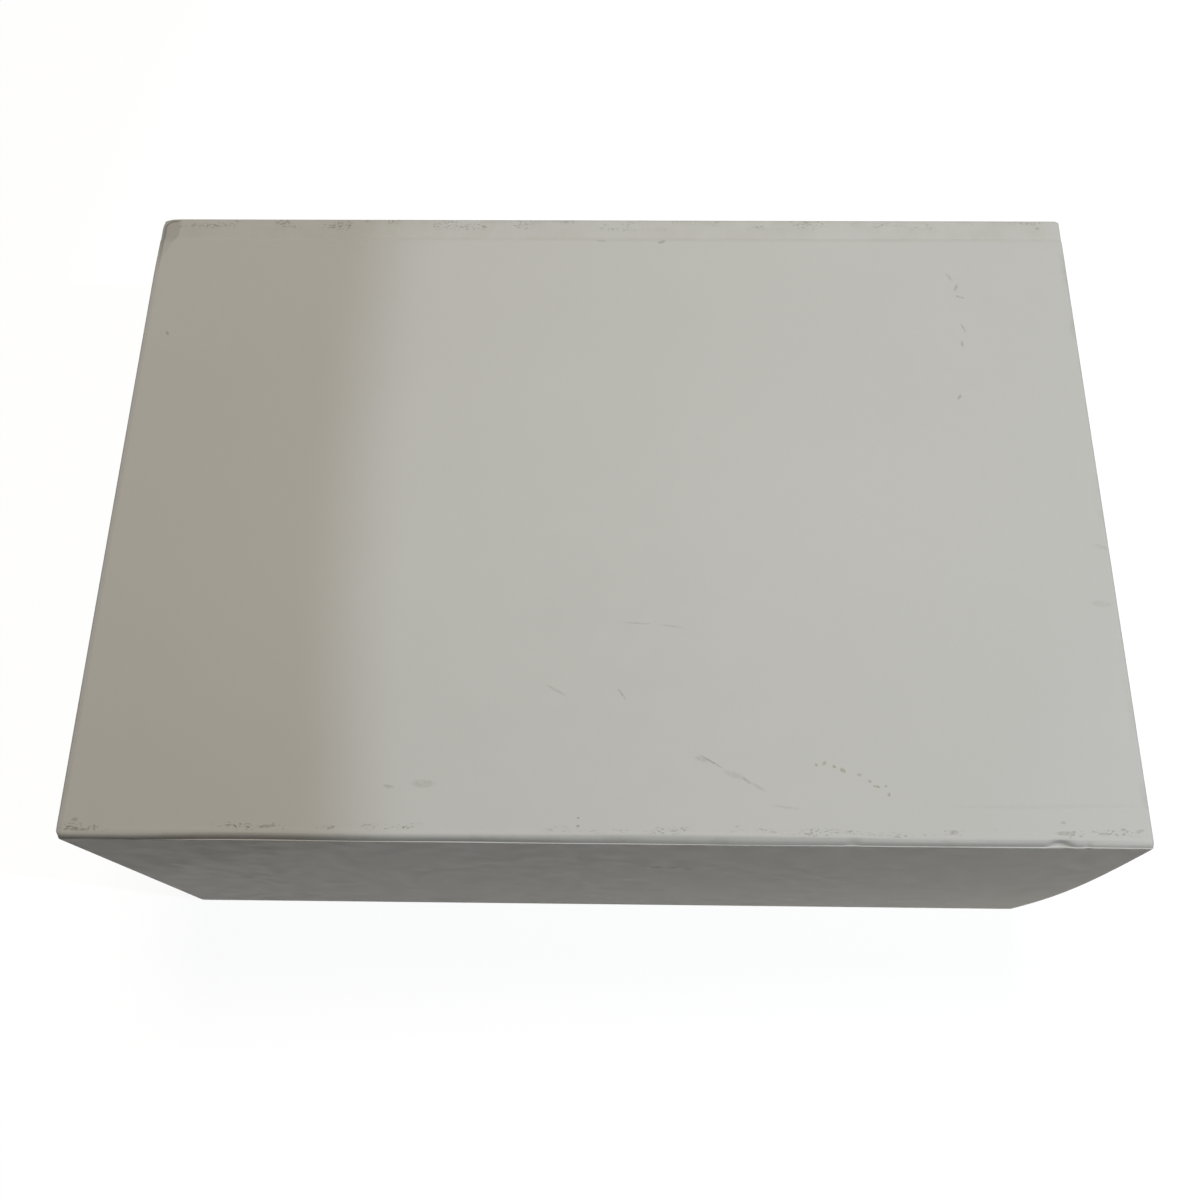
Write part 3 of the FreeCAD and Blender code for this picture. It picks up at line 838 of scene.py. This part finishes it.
def stay_paper():
    """Brown gummed tape on the tray's corners."""
    f = Finish("stay_paper")
    place_of = f.places()
    streaks = f.node("ShaderNodeMapping", {"Vector": place_of, "Scale": (1.0, 1.0, 0.12)}).outputs["Vector"]
    fibre = f.noise(streaks, 700.0, 4.0, 0.65)
    brown = f.mix(f.ramp(fibre, 0.3, 0.7), (0.40, 0.315, 0.22, 1.0), (0.50, 0.405, 0.30, 1.0))
    rough = f.ramp(fibre, 0.3, 0.7, 0.6, 0.72)
    return f.give(base_color=brown, roughness=rough, normal=f.bump(fibre, 0.03 * MM, 0.6))


def plated_metal(name, light, dark, rough):
    """Disc metal: a fine grain and faint stains."""
    f = Finish(name)
    place_of = f.places()
    haze = f.noise(place_of, 300.0, 4.0, 0.6)
    grain = f.noise(place_of, 2600.0, 2.0, 0.5)
    metal = f.mix(f.ramp(haze, 0.35, 0.65), dark, light)
    dull = f.ramp(grain, 0.3, 0.7, rough - 0.05, rough + 0.08)
    return f.give(base_color=metal, metallic=1.0, roughness=dull, normal=f.bump(grain, 0.01 * MM, 0.5))


cover = cover_paper("cover_paper")
cover_lid = cover_paper("cover_paper_lid", lid=True)
cover_fold = cover_paper("cover_paper_fold", "rest_place", lid=True)
cover_flap = cover_paper("cover_paper_flap", flap=True)
liner = liner_paper("liner_paper")
liner_fold = liner_paper("liner_paper_fold", "rest_place")
grey = greyboard()
tape = stay_paper()
nickel = plated_metal("magnet_nickel", (0.66, 0.655, 0.64, 1.0), (0.56, 0.555, 0.54, 1.0), 0.22)
steel = plated_metal("keeper_steel", (0.53, 0.53, 0.54, 1.0), (0.43, 0.43, 0.44, 1.0), 0.38)

NODE_FINISH = {
    "greyboard": grey, "stay_paper": tape, "magnet": nickel, "keeper_steel": steel,
    "cover_paper": cover, "liner_paper": liner,
}
for row in frame["record"]["subparts"]:
    paint(bpy.data.objects[row["node"]].data, NODE_FINISH[row["material_slot"]])


def keep(piece, body, slot, *nodes):
    """A piece that rides on a body and stands for CAD nodes."""
    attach(piece, body)
    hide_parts(*nodes)


# Case panels
lid_spot = ((0, LID_FRONT, LID_UNDER), (0, 1, 0), (0, 0, 1))
flap_spot = ((0, FLAP_INNER, FLAP_TOP), (0, 0, -1), (0, -1, 0))
spine_spot = ((0, SPINE_INNER, spine_low[Z]), (0, 0, 1), (0, 1, 0))
base_spot = ((0, base_high[Y], base_low[Z] + PAPER + BOARD), (0, -1, 0), (0, 0, -1))
lid_run = LID_BACK - LID_FRONT
flap_start = FLAP_TOP - flap_high[Z]
flap_run = FLAP_TOP - flap_low[Z]

lid_paper = papered_panel("lid_paper", lid_spot, 0.0, lid_run, False, cover_lid, LID_EDGE, KNOCK_RUN)
keep(lid_paper, "lid", "cover_paper", "lid_cover")
lid_core = board_panel("lid_core", lid_spot, lid_run, False, grey, LID_EDGE - PAPER, KNOCK_RUN)
keep(lid_core, "lid", "greyboard", "lid_board")
flap_paper = papered_panel("flap_paper", flap_spot, flap_start, flap_run, True, cover_flap, shape=bow)
keep(flap_paper, "flap", "cover_paper", "flap_cover")
keep(bowed("flap_core", "flap_board", grey), "flap", "greyboard", "flap_board")
keep(bowed("magnet_discs", "flap_magnets", nickel), "flap", "magnet", "flap_magnets")
spine_paper = papered_panel("spine_paper", spine_spot, 0.0, spine_high[Z] - spine_low[Z], False, cover)
keep(spine_paper, "box", "cover_paper", "spine_cover")
base_paper = papered_panel("base_paper", base_spot, 0.0, base_high[Y] - base_low[Y], True, cover)
keep(base_paper, "box", "cover_paper", "base_cover")

# Linings of the lid and the flap
liner_half = HALF - LINER_MARGIN
bare_half = HALF - TURN_IN
lid_lining = lining("lid_lining", lid_spot, liner_half, 0.0, lid_run, bare_half, lid_run, liner)
keep(lid_lining, "lid", "liner_paper", "lid_liner")
magnet_radius = (magnet_high[Z] - magnet_low[Z]) / 2
magnet_run = FLAP_TOP - (magnet_high[Z] + magnet_low[Z]) / 2
magnet_reach = magnet_high[X] - magnet_radius
magnet_shares = (-1.0, -1.0 / 3.0, 1.0 / 3.0, 1.0)
magnet_bumps = [(magnet_reach * part, magnet_run, magnet_radius) for part in magnet_shares]
flap_lining = lining("flap_lining", flap_spot, liner_half, 0.0, flap_run - LINER_MARGIN, bare_half,
                     flap_run - TURN_IN, liner, magnet_bumps, bow)
keep(flap_lining, "flap", "liner_paper", "flap_liner")


# Papers across the folds

GROOVE_WAVES = ((0.5, 37 * MM, 0.0), (0.35, 13.7 * MM, 1.0))    # share, length and shift of each
GROOVE_EASE = 2 * MM           # bend from the groove up to the spine
TUCK_ROUND = 0.5 * MM          # bends of the back hinge's liner
PLEAT_ROUNDS = [0.03 * MM, 0.6 * MM, 0.5 * MM]    # bends of the front hinge's liner


def uneven(x, waves):
    """1 at rest, with slow waves along a fold."""
    return 1.0 + sum(part * math.sin(x / length + shift) for part, length, shift in waves)


def hem(x):
    """Thickness of a fold's paper: doubled where it is turned in at the ends."""
    return PAPER * (1.0 + float(ease(HALF - TURN_IN, HALF - TURN_IN + HEM_STEP, abs(x))))


def back_strip(x):
    """From the lid's back edge, down into the groove, and over the spine."""
    floor = STRIP_TOP - GROOVE * uneven(x, GROOVE_WAVES)
    corners = [
        (LID_BACK, LID_TOP), (LID_BACK + EDGE_ROUND, LID_TOP), (LID_BACK + EDGE_ROUND + GROOVE_RUN, floor),
        (SPINE_INNER, STRIP_TOP), (BACK, STRIP_TOP), (BACK, spine_high[Z]),
    ]
    return fold_path(corners, [EDGE_ROUND * 0.9, EDGE_ROUND * 0.9, GROOVE_EASE, SPINE_ROUND])


def droop_ends(points):
    """Round a strip's two ends down to meet the lid's softened sides."""
    past = np.clip(np.abs(points[:, X]) - (HALF - LID_EDGE), 0.0, LID_EDGE)
    fall = LID_EDGE - np.sqrt(LID_EDGE * LID_EDGE - past * past)
    reach = 2.6 * MM
    points[:, Z] -= fall * np.clip((points[:, Z] - LID_TOP + reach) / reach, 0.0, 1.0)
    return points


def shape_back(points):
    """Ends of the back edge drawn round in plan, more at the knocked left end."""
    moved = points.copy()
    lift = ease(spine_high[Z], STRIP_TOP, moved[:, Z])
    corner = EDGE_ROUND + (np.where(moved[:, X] < 0, KNOCK_CORNER, STRIP_CORNER) - EDGE_ROUND) * lift
    past_side = np.clip(np.abs(moved[:, X]) - (HALF - corner), 0.0, None)
    past_back = np.clip(moved[:, Y] - (BACK - corner), 0.0, None)
    reach = np.hypot(past_side, past_back)
    shrink = np.where(reach > 0, share(np.maximum(past_side, past_back), reach), 1.0)
    moved[:, X] -= np.sign(moved[:, X]) * past_side * (1.0 - shrink)
    moved[:, Y] -= past_back * (1.0 - shrink)
    return droop_ends(moved)


spine_board_spot = ((0, SPINE_INNER, spine_board_low[Z]), (0, 0, 1), (0, 1, 0))
spine_rise = spine_board_high[Z] - spine_board_low[Z]
spine_edge = SPINE_ROUND - 1.5 * PAPER
spine_core = board_panel("spine_core", spine_board_spot, spine_rise, True, grey, spine_edge, 0.0, shape_back)
keep(spine_core, "box", "greyboard", "spine_board")

back_places = strip_places(HALF, BACK_FOLD_STEP)
lid_fold = fold_strip("lid_fold_paper", back_places, back_strip, hem, cover_fold, shape_back)
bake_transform(lid_fold)
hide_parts("lid_hinge_paper")

tuck_top = lid_tuck_high[Z]
tuck_corners = [
    (LID_BACK, LID_UNDER - PAPER), (LID_BACK, tuck_top),
    (SPINE_INNER, tuck_top), (SPINE_INNER, lid_tuck_low[Z]),
]
tuck_path = fold_path(tuck_corners, [TUCK_ROUND, TUCK_ROUND], line_steps=8)
tuck_places = even(-lid_tuck_high[X], lid_tuck_high[X], FOLD_LINER_STEP)
lid_tuck = fold_strip("lid_fold_lining", tuck_places, lambda x: tuck_path, lambda x: PAPER, liner_fold)
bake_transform(lid_tuck)
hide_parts("lid_hinge_liner")

LEDGE = FLAP_TOP + PAPER       # top of the flap's paper
LEDGE_RUN = 0.36 * MM          # depth of the ledge over the flap's top edge
LEDGE_WAVES = ((0.16, 9.3 * MM, 0.0), (0.18, 23.0 * MM, 1.3))
LEDGE_OUT = (-148 * MM, -112 * MM)    # where the ledge runs out at the left
LIP_RISE = 0.5 * MM            # slack of the paper over that edge, and as much again at the right
LIP_GROWS = (0.0, 110 * MM)    # where the slack grows to the right
LIP_CORNER = (136 * MM, 150 * MM)     # where it grows again, at the right corner
ROLL_REACH = 1.9 * MM          # run of the shoulder's roll from the ledge back to the lid
ROLL_SLACK = 0.8 * MM          # longer run at the middle
ROLL_MIDDLE = (30 * MM, 75 * MM)      # centre and reach of the middle
ROLL_START = math.radians(52)  # how far round the roll its foot is
ROLL_STEPS = 14
BEAD = 0.17 * MM               # raised line where the shoulder meets the lid
BEAD_PLACE = (LID_FRONT - 1.0 * MM, 1.1 * MM)     # its middle and half width
BEAD_GROWS = 90 * MM           # from the middle to where it is highest
BEAD_ENDS = 12 * MM            # run over which it dies away at the ends
DENT_PLACE = (LID_TOP - 0.9 * MM, 1.5 * MM)       # middle and half height of the dents


def shoulder(x):
    """From the flap's face, over its ledge, up the roll and onto the lid. The ledge runs out at the left."""
    open_ledge = float(ease(*LEDGE_OUT, x))
    slack = 1.0 + float(ease(*LIP_GROWS, x)) + 1.3 * float(ease(*LIP_CORNER, x))
    ledge = LEDGE + LIP_RISE * slack
    start = ROLL_START * open_ledge
    middle = float(hump(*ROLL_MIDDLE, x))
    run = LEDGE_RUN * (0.04 + 0.96 * open_ledge * uneven(x, LEDGE_WAVES) * (1.0 - 0.4 * middle))
    foot = FRONT + run
    reach = ROLL_REACH + ROLL_SLACK * middle
    wide = reach / math.cos(start)
    tall = (LID_TOP - ledge) / (1.0 - math.sin(start))
    lip = fold_path([(FRONT, flap_high[Z]), (FRONT, ledge), (foot, ledge)], [0.6 * run], line_steps=2)
    turns = np.linspace(start, math.pi / 2, ROLL_STEPS)[1:]
    roll = np.column_stack((foot + reach - wide * np.cos(turns), LID_TOP - tall + tall * np.sin(turns)))
    last = np.column_stack((np.linspace(foot + reach, LID_FRONT, 3)[1:], np.full(2, LID_TOP)))
    return np.concatenate((lip, roll, last))


# Dents in the shoulder: place along it, half width, depth
DENTS = [
    (137.0 * MM, 4.8 * MM, 0.75 * MM),
    (75.3 * MM, 3.2 * MM, 0.22 * MM),
    (145.3 * MM, 1.6 * MM, 0.18 * MM),
]


def shape_front(points):
    """The shoulder's ends drawn in around the front corners, its dents, and the bead along the lid."""
    moved = points.copy()
    to_right = 0.5 + 0.5 * ease(0.0, BEAD_GROWS, moved[:, X])
    bead = BEAD * to_right * ease(HALF, HALF - BEAD_ENDS, np.abs(moved[:, X]))
    by_lid = hump(*BEAD_PLACE, moved[:, Y])
    moved[:, Z] += bead * by_lid * ease(LEDGE, LID_TOP, moved[:, Z])
    depth = LID_FRONT - FRONT
    lift = ease(flap_high[Z], LEDGE + 1.0 * MM, moved[:, Z])
    corner = EDGE_ROUND + (np.where(moved[:, X] < 0, LEFT_SHOULDER, RIGHT_SHOULDER) - EDGE_ROUND) * lift
    past = np.clip(np.abs(moved[:, X]) - (HALF - corner), 0.0, corner)
    limit = depth - corner + np.sqrt(np.clip(corner * corner - past * past, 0.0, None))
    moved[:, Y] = LID_FRONT - (LID_FRONT - moved[:, Y]) * limit / depth
    for centre, reach, deep in DENTS:
        pressed = hump(centre, reach, moved[:, X]) * hump(*DENT_PLACE, moved[:, Z])
        pressed = pressed * ease(LID_FRONT - 0.2 * MM, LID_FRONT - 1.6 * MM, moved[:, Y])
        moved[:, Y] += deep * pressed
        moved[:, Z] -= 0.6 * deep * pressed
    return droop_ends(moved)


close_places = [(centre, reach + 3 * DENT_STEP, DENT_STEP) for centre, reach, _ in DENTS]
front_places = strip_places(HALF, FRONT_FOLD_STEP, close_places)
flap_fold = fold_strip("flap_fold_paper", front_places, shoulder, lambda x: PAPER, cover_fold, shape_front)
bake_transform(flap_fold)
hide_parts("flap_hinge_paper")

pleat_foot = pleat_low[Y]
pleat_corners = [
    (FLAP_INNER + PAPER, FLAP_TOP), (pleat_foot, FLAP_TOP), (pleat_foot, pleat_high[Z]),
    (LID_FRONT, pleat_high[Z]), (LID_FRONT, LID_UNDER - PAPER),
]
pleat_path = fold_path(pleat_corners, PLEAT_ROUNDS)
pleat_places = even(-pleat_high[X], pleat_high[X], FOLD_LINER_STEP)
pleat = fold_strip("flap_fold_lining", pleat_places, lambda x: pleat_path, lambda x: PAPER, liner_fold)
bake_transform(pleat)
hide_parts("flap_hinge_liner")

fold_corners = [(BACK, spine_low[Z]), (BACK, base_low[Z]), (base_high[Y], base_low[Z])]
fold_reach = min(BACK - base_high[Y], spine_low[Z] - base_low[Z])
foot_path = fold_path(fold_corners, [fold_reach * 0.98], line_steps=1, arc_steps=9)
foot_places = strip_places(HALF, FOOT_FOLD_STEP)
base_fold = fold_strip("base_fold", foot_places, lambda x: foot_path, lambda x: PAPER, cover)
keep(base_fold, "box", "cover_paper", "base_fold_paper")


# Tray papers: a sheet that follows the tray's outline, bent over a profile

def wall_sheet_tree(name, stops):
    """Node tree: a rounded rectangle, with a folded profile of (inset, height) stops swept round it."""
    tree = bpy.data.node_groups.new(name, "GeometryNodeTree")
    face = tree.interface
    face.new_socket("Geometry", in_out="OUTPUT", socket_type="NodeSocketGeometry")
    wanted = [("Half width", "Float"), ("Half depth", "Float"), ("Middle", "Vector")]
    wanted += [("Corner round", "Float"), ("Fold round", "Float")]
    wanted += [(stop, "Vector") for stop in stops] + [("Paper", "Material")]
    for socket, kind in wanted:
        face.new_socket(socket, in_out="INPUT", socket_type="NodeSocket" + kind)
    given = tree.nodes.new("NodeGroupInput").outputs
    result = tree.nodes.new("NodeGroupOutput").inputs

    def node(kind, inputs=(), **settings):
        return add_node(tree, kind, inputs, **settings)

    def reckon(operation, first, second=0.0):
        return node("ShaderNodeMath", {0: first, 1: second}, operation=operation).outputs[0]

    def vector(operation, first, second):
        return node("ShaderNodeVectorMath", {0: first, 1: second}, operation=operation).outputs["Vector"]

    def geometry(kind, inputs):
        return node(kind, inputs).outputs["Geometry"]

    def fillet(curve, radius):
        inputs = {"Curve": curve, "Count": 5, "Radius": radius}
        return node("GeometryNodeFilletCurve", inputs, mode="POLY").outputs["Curve"]

    def count(curve):
        size = node("GeometryNodeAttributeDomainSize", {"Geometry": curve}, component="CURVE")
        return size.outputs["Point Count"]

    def sample(curve, value, number):
        inputs = {"Geometry": curve, "Value": value, "Index": number}
        return node("GeometryNodeSampleIndex", inputs, data_type="FLOAT_VECTOR").outputs["Value"]

    width = reckon("MULTIPLY", given["Half width"], 2.0)
    depth = reckon("MULTIPLY", given["Half depth"], 2.0)
    rectangle = node("GeometryNodeCurvePrimitiveQuadrilateral", {"Width": width, "Height": depth})
    outline = fillet(rectangle.outputs["Curve"], given["Corner round"])
    around = count(outline)

    line = node("GeometryNodeMeshLine", {"Count": len(stops)}).outputs["Mesh"]
    index = node("GeometryNodeInputIndex").outputs["Index"]
    pick = node("GeometryNodeIndexSwitch", data_type="VECTOR")
    while len(pick.index_switch_items) < len(stops):
        pick.index_switch_items.new()
    tree.links.new(index, pick.inputs["Index"])
    for number, stop in enumerate(stops):
        tree.links.new(given[stop], pick.inputs[str(number)])
    line = geometry("GeometryNodeSetPosition", {"Geometry": line, "Position": pick.outputs[0]})
    profile = node("GeometryNodeMeshToCurve", {"Mesh": line}).outputs["Curve"]
    profile = fillet(profile, given["Fold round"])
    along = count(profile)

    columns = reckon("ADD", around, 1.0)
    lines_of = {"Size X": 1.0, "Size Y": 1.0, "Vertices X": columns, "Vertices Y": along}
    grid = node("GeometryNodeMeshGrid", lines_of).outputs["Mesh"]
    column = reckon("MODULO", reckon("FLOOR", reckon("DIVIDE", reckon("ADD", index, 0.5), along)), around)
    row = reckon("MODULO", index, along)
    spot = node("GeometryNodeInputPosition").outputs["Position"]
    edge = sample(outline, spot, column)
    bend = node("ShaderNodeSeparateXYZ", {0: sample(profile, spot, row)}).outputs
    straight_x = reckon("SUBTRACT", given["Half width"], given["Corner round"])
    straight_y = reckon("SUBTRACT", given["Half depth"], given["Corner round"])
    straight = node("ShaderNodeCombineXYZ", {"X": straight_x, "Y": straight_y, "Z": 1.0}).outputs["Vector"]
    lean = vector("MINIMUM", vector("MAXIMUM", vector("DIVIDE", edge, straight), (-1, -1, -1)), (1, 1, 1))
    inset = node("ShaderNodeVectorMath", {0: lean, "Scale": bend["X"]}, operation="SCALE").outputs["Vector"]
    height = node("ShaderNodeCombineXYZ", {"Z": bend["Z"]}).outputs["Vector"]
    spot = vector("ADD", vector("ADD", vector("SUBTRACT", edge, inset), height), given["Middle"])
    sheet = geometry("GeometryNodeSetPosition", {"Geometry": grid, "Position": spot})
    sheet = geometry("GeometryNodeMergeByDistance", {"Geometry": sheet, "Distance": SAME_POINT})
    sheet = geometry("GeometryNodeRealizeInstances", {"Geometry": sheet})
    sheet = geometry("GeometryNodeSetMaterial", {"Geometry": sheet, "Material": given["Paper"]})
    tree.links.new(sheet, result["Geometry"])
    return tree


def wall_sheet(name, tree, values, material):
    """A tray paper from the tree, with its thickness towards the board."""
    piece = put(name, bpy.data.meshes.new(name))
    maker = piece.modifiers.new("sheet", "NODES")
    maker.node_group = tree
    for socket in tree.interface.items_tree:
        if socket.in_out == "INPUT":
            maker[socket.identifier] = values.get(socket.name, material)
    harden(piece)
    dress(piece, material, PAPER)
    return piece


RIM = wrap_high[Z]
wall_stack = BOARD + 2 * PAPER
step_height = RIM - TURN_IN - PAPER
tray_middle = (wrap_low[Y] + wrap_high[Y]) / 2
wrap_stops = ("Turned under", "Foot", "Rim outside", "Rim inside", "Turned in")
wrap_values = {
    "Half width": wrap_high[X],
    "Half depth": (wrap_high[Y] - wrap_low[Y]) / 2,
    "Middle": (0.0, tray_middle, 0.0),
    "Corner round": EDGE_ROUND,
    "Fold round": 0.55 * MM,
    "Turned under": (TURN_IN, 0.0, wrap_low[Z]),
    "Foot": (0.0, 0.0, wrap_low[Z]),
    "Rim outside": (0.0, 0.0, RIM),
    "Rim inside": (wall_stack, 0.0, RIM),
    "Turned in": (wall_stack, 0.0, step_height),
}
wrap_tree = wall_sheet_tree("wrap_round_tray", wrap_stops)
tray_wrap = wall_sheet("tray_wrap_paper", wrap_tree, wrap_values, cover)
keep(tray_wrap, "box", "cover_paper", "tray_wrap")

lining_stops = ("Top edge", "Over turn-in", "Step", "Foot")
lining_values = {
    "Half width": room_high[X],
    "Half depth": (room_high[Y] - room_low[Y]) / 2,
    "Middle": (0.0, (room_low[Y] + room_high[Y]) / 2, 0.0),
    "Corner round": 0.35 * MM,
    "Fold round": 0.4 * MM,
    "Top edge": (2 * PAPER, 0.0, room_high[Z]),
    "Over turn-in": (2 * PAPER, 0.0, step_height - 0.2 * MM),
    "Step": (PAPER, 0.0, step_height - 1.4 * MM),
    "Foot": (PAPER, 0.0, room_low[Z]),
}
lining_tree = wall_sheet_tree("lining_round_tray", lining_stops)
wall_lining = wall_sheet("tray_wall_lining", lining_tree, lining_values, liner)
keep(wall_lining, "box", "liner_paper", "tray_wall_liner")


def floor_sheet(name, material):
    """Paper on the tray's floor, a little high over air left under it."""
    us = even(floor_low[X], floor_high[X], FLOOR_STEP)
    vs = even(floor_low[Y], floor_high[Y], FLOOR_STEP)
    grid_u, grid_v = np.meshgrid(us, vs, indexing="ij")
    from_ends = np.minimum(grid_v - floor_low[Y], floor_high[Y] - grid_v)
    inside = np.minimum(floor_high[X] - np.abs(grid_u), from_ends)
    ripple = np.sin(grid_u / (41 * MM)) * np.cos(grid_v / (33 * MM) + 0.6)
    height = floor_high[Z] + FLOOR_AIR * ease(2 * MM, 30 * MM, inside) * (1.0 + ripple)
    points = np.stack((grid_u, grid_v, height), axis=-1).reshape(-1, 3)
    return build(name, points, grid_faces(len(us), len(vs)), material, PAPER)


floor_lining = floor_sheet("tray_floor_lining", liner)
keep(floor_lining, "box", "liner_paper", "tray_floor_liner")

# Camera at the photograph's viewing angle: its lens, directions and place fitted to the box's edges
camera_data = bpy.data.cameras.new("camera")
camera_data.sensor_width = 36.0
camera_data.lens = 36.308
camera = put("camera", camera_data)
right = (0.999858, 0.012375, -0.011396)
down = (0.007369, -0.931157, -0.364543)
ahead = (-0.015123, 0.364408, -0.931117)
stand = (0.004648, -0.178742, 0.505635)
camera.matrix_world = Matrix([[right[n], -down[n], -ahead[n], stand[n]] for n in range(3)] + [[0, 0, 0, 1]])
bpy.context.scene.camera = camera

# Floor: pale, white to the camera, with the box's shadow kept, in metres
FLOOR_REACH = 4.0
FLOOR_UNDER = -0.2 * MM        # just under the box
FLOOR_NEAR = 0.03              # from the box, where the floor's bounce starts to fade
FLOOR_FAR = 0.17               # where it has faded
floor_mesh = bpy.data.meshes.new("floor")
floor_signs = ((-1, -1), (1, -1), (1, 1), (-1, 1))
floor_corners = [(FLOOR_REACH * a, FLOOR_REACH * b, FLOOR_UNDER) for a, b in floor_signs]
floor_mesh.from_pydata(floor_corners, [], [(0, 1, 2, 3)])
floor = put("floor", floor_mesh)


def background_rays(tree):
    """1 for the rays that see the white background: the camera's, and those of mirrors and clear things."""
    rays = add_node(tree, "ShaderNodeLightPath").outputs
    total = rays["Is Camera Ray"]
    for name in ("Is Glossy Ray", "Is Transmission Ray"):
        total = add_node(tree, "ShaderNodeMath", {0: total, 1: rays[name]}, operation="MAXIMUM").outputs[0]
    return total


def floor_finish():
    """A floor that throws light back close to the box, and is nearly white to the camera and mirrors."""
    material = bpy.data.materials.new("floor")
    tree = bare_tree(material)
    places = add_node(tree, "ShaderNodeTexCoord").outputs["Object"]
    for operation, amount in (("ABSOLUTE", (0, 0, 0)), ("SUBTRACT", (HALF, BACK, 0)), ("MAXIMUM", (0, 0, 0))):
        step = add_node(tree, "ShaderNodeVectorMath", {0: places, 1: amount}, operation=operation)
        places = step.outputs["Vector"]
    away = add_node(tree, "ShaderNodeVectorMath", {0: places}, operation="LENGTH").outputs["Value"]
    span = {"Value": away, "From Min": FLOOR_NEAR, "From Max": FLOOR_FAR}
    fade = add_node(tree, "ShaderNodeMapRange", span)
    tint = add_node(tree, "ShaderNodeValToRGB", {"Fac": fade.outputs["Result"]})
    tint.color_ramp.elements[0].color = (0.55, 0.485, 0.38, 1.0)
    tint.color_ramp.elements[1].color = (0.05, 0.046, 0.038, 1.0)
    bounce = add_node(tree, "ShaderNodeBsdfDiffuse", {"Color": tint.outputs["Color"]}).outputs[0]
    shadow = add_node(tree, "ShaderNodeBsdfDiffuse", {"Color": (0.16, 0.16, 0.16, 1.0)}).outputs[0]
    glow = add_node(tree, "ShaderNodeEmission", {"Strength": 0.92}).outputs[0]
    seen = add_node(tree, "ShaderNodeAddShader", {0: shadow, 1: glow}).outputs[0]
    choose = add_node(tree, "ShaderNodeMixShader", {0: background_rays(tree), 1: bounce, 2: seen}).outputs[0]
    add_node(tree, "ShaderNodeOutputMaterial", {"Surface": choose})
    return material


floor_mesh.materials.append(floor_finish())


def looking(stand, aim):
    """The place and turn of a lamp that stands at one point and looks at another."""
    look = np.array(aim) - np.array(stand)
    look = look / np.linalg.norm(look)
    side = np.cross(look, (0.0, 0.0, 1.0))
    side = side / np.linalg.norm(side)
    rise = np.cross(side, look)
    return Matrix([[side[n], rise[n], -look[n], stand[n]] for n in range(3)] + [[0, 0, 0, 1]])


def lamp(name, stand, size, power, colour):
    """A soft square lamp that looks at the box."""
    data = bpy.data.lights.new(name, "AREA")
    data.shape = "SQUARE"
    data.size = size
    data.energy = power
    data.color = colour
    made = put(name, data)
    made.matrix_world = looking(stand, (0.0, 0.0, 0.1))
    made.visible_camera = False


lamp("overhead", (0.02, 0.30, 1.35), 0.45, 8.6, (1.0, 0.945, 0.845))
lamp("front_fill", (0.31, -0.31, 0.10), 0.16, 0.046, (1.0, 0.77, 0.60))

beam_data = bpy.data.lights.new("side_window", "SPOT")
beam_data.energy = 18.05
beam_data.color = (0.76, 0.865, 0.985)
beam_data.spot_size = math.radians(104)
beam_data.spot_blend = 0.012
beam_data.shadow_soft_size = 0.010
beam = put("side_window", beam_data)
beam.matrix_world = looking((0.796, -0.23, 0.80), (0.788, -0.14, LID_TOP))

world = bpy.data.worlds.new("studio")
bpy.context.scene.world = world
tree = bare_tree(world)
sky = add_node(tree, "ShaderNodeBackground", {"Color": (1.0, 0.965, 0.91, 1.0), "Strength": 0.055}).outputs[0]
white = add_node(tree, "ShaderNodeBackground", {"Color": (0.98, 0.98, 0.98, 1.0)}).outputs[0]
choose = add_node(tree, "ShaderNodeMixShader", {0: background_rays(tree), 1: sky, 2: white}).outputs[0]
add_node(tree, "ShaderNodeOutputWorld", {"Surface": choose})

bpy.context.scene.view_settings.view_transform = "Standard"
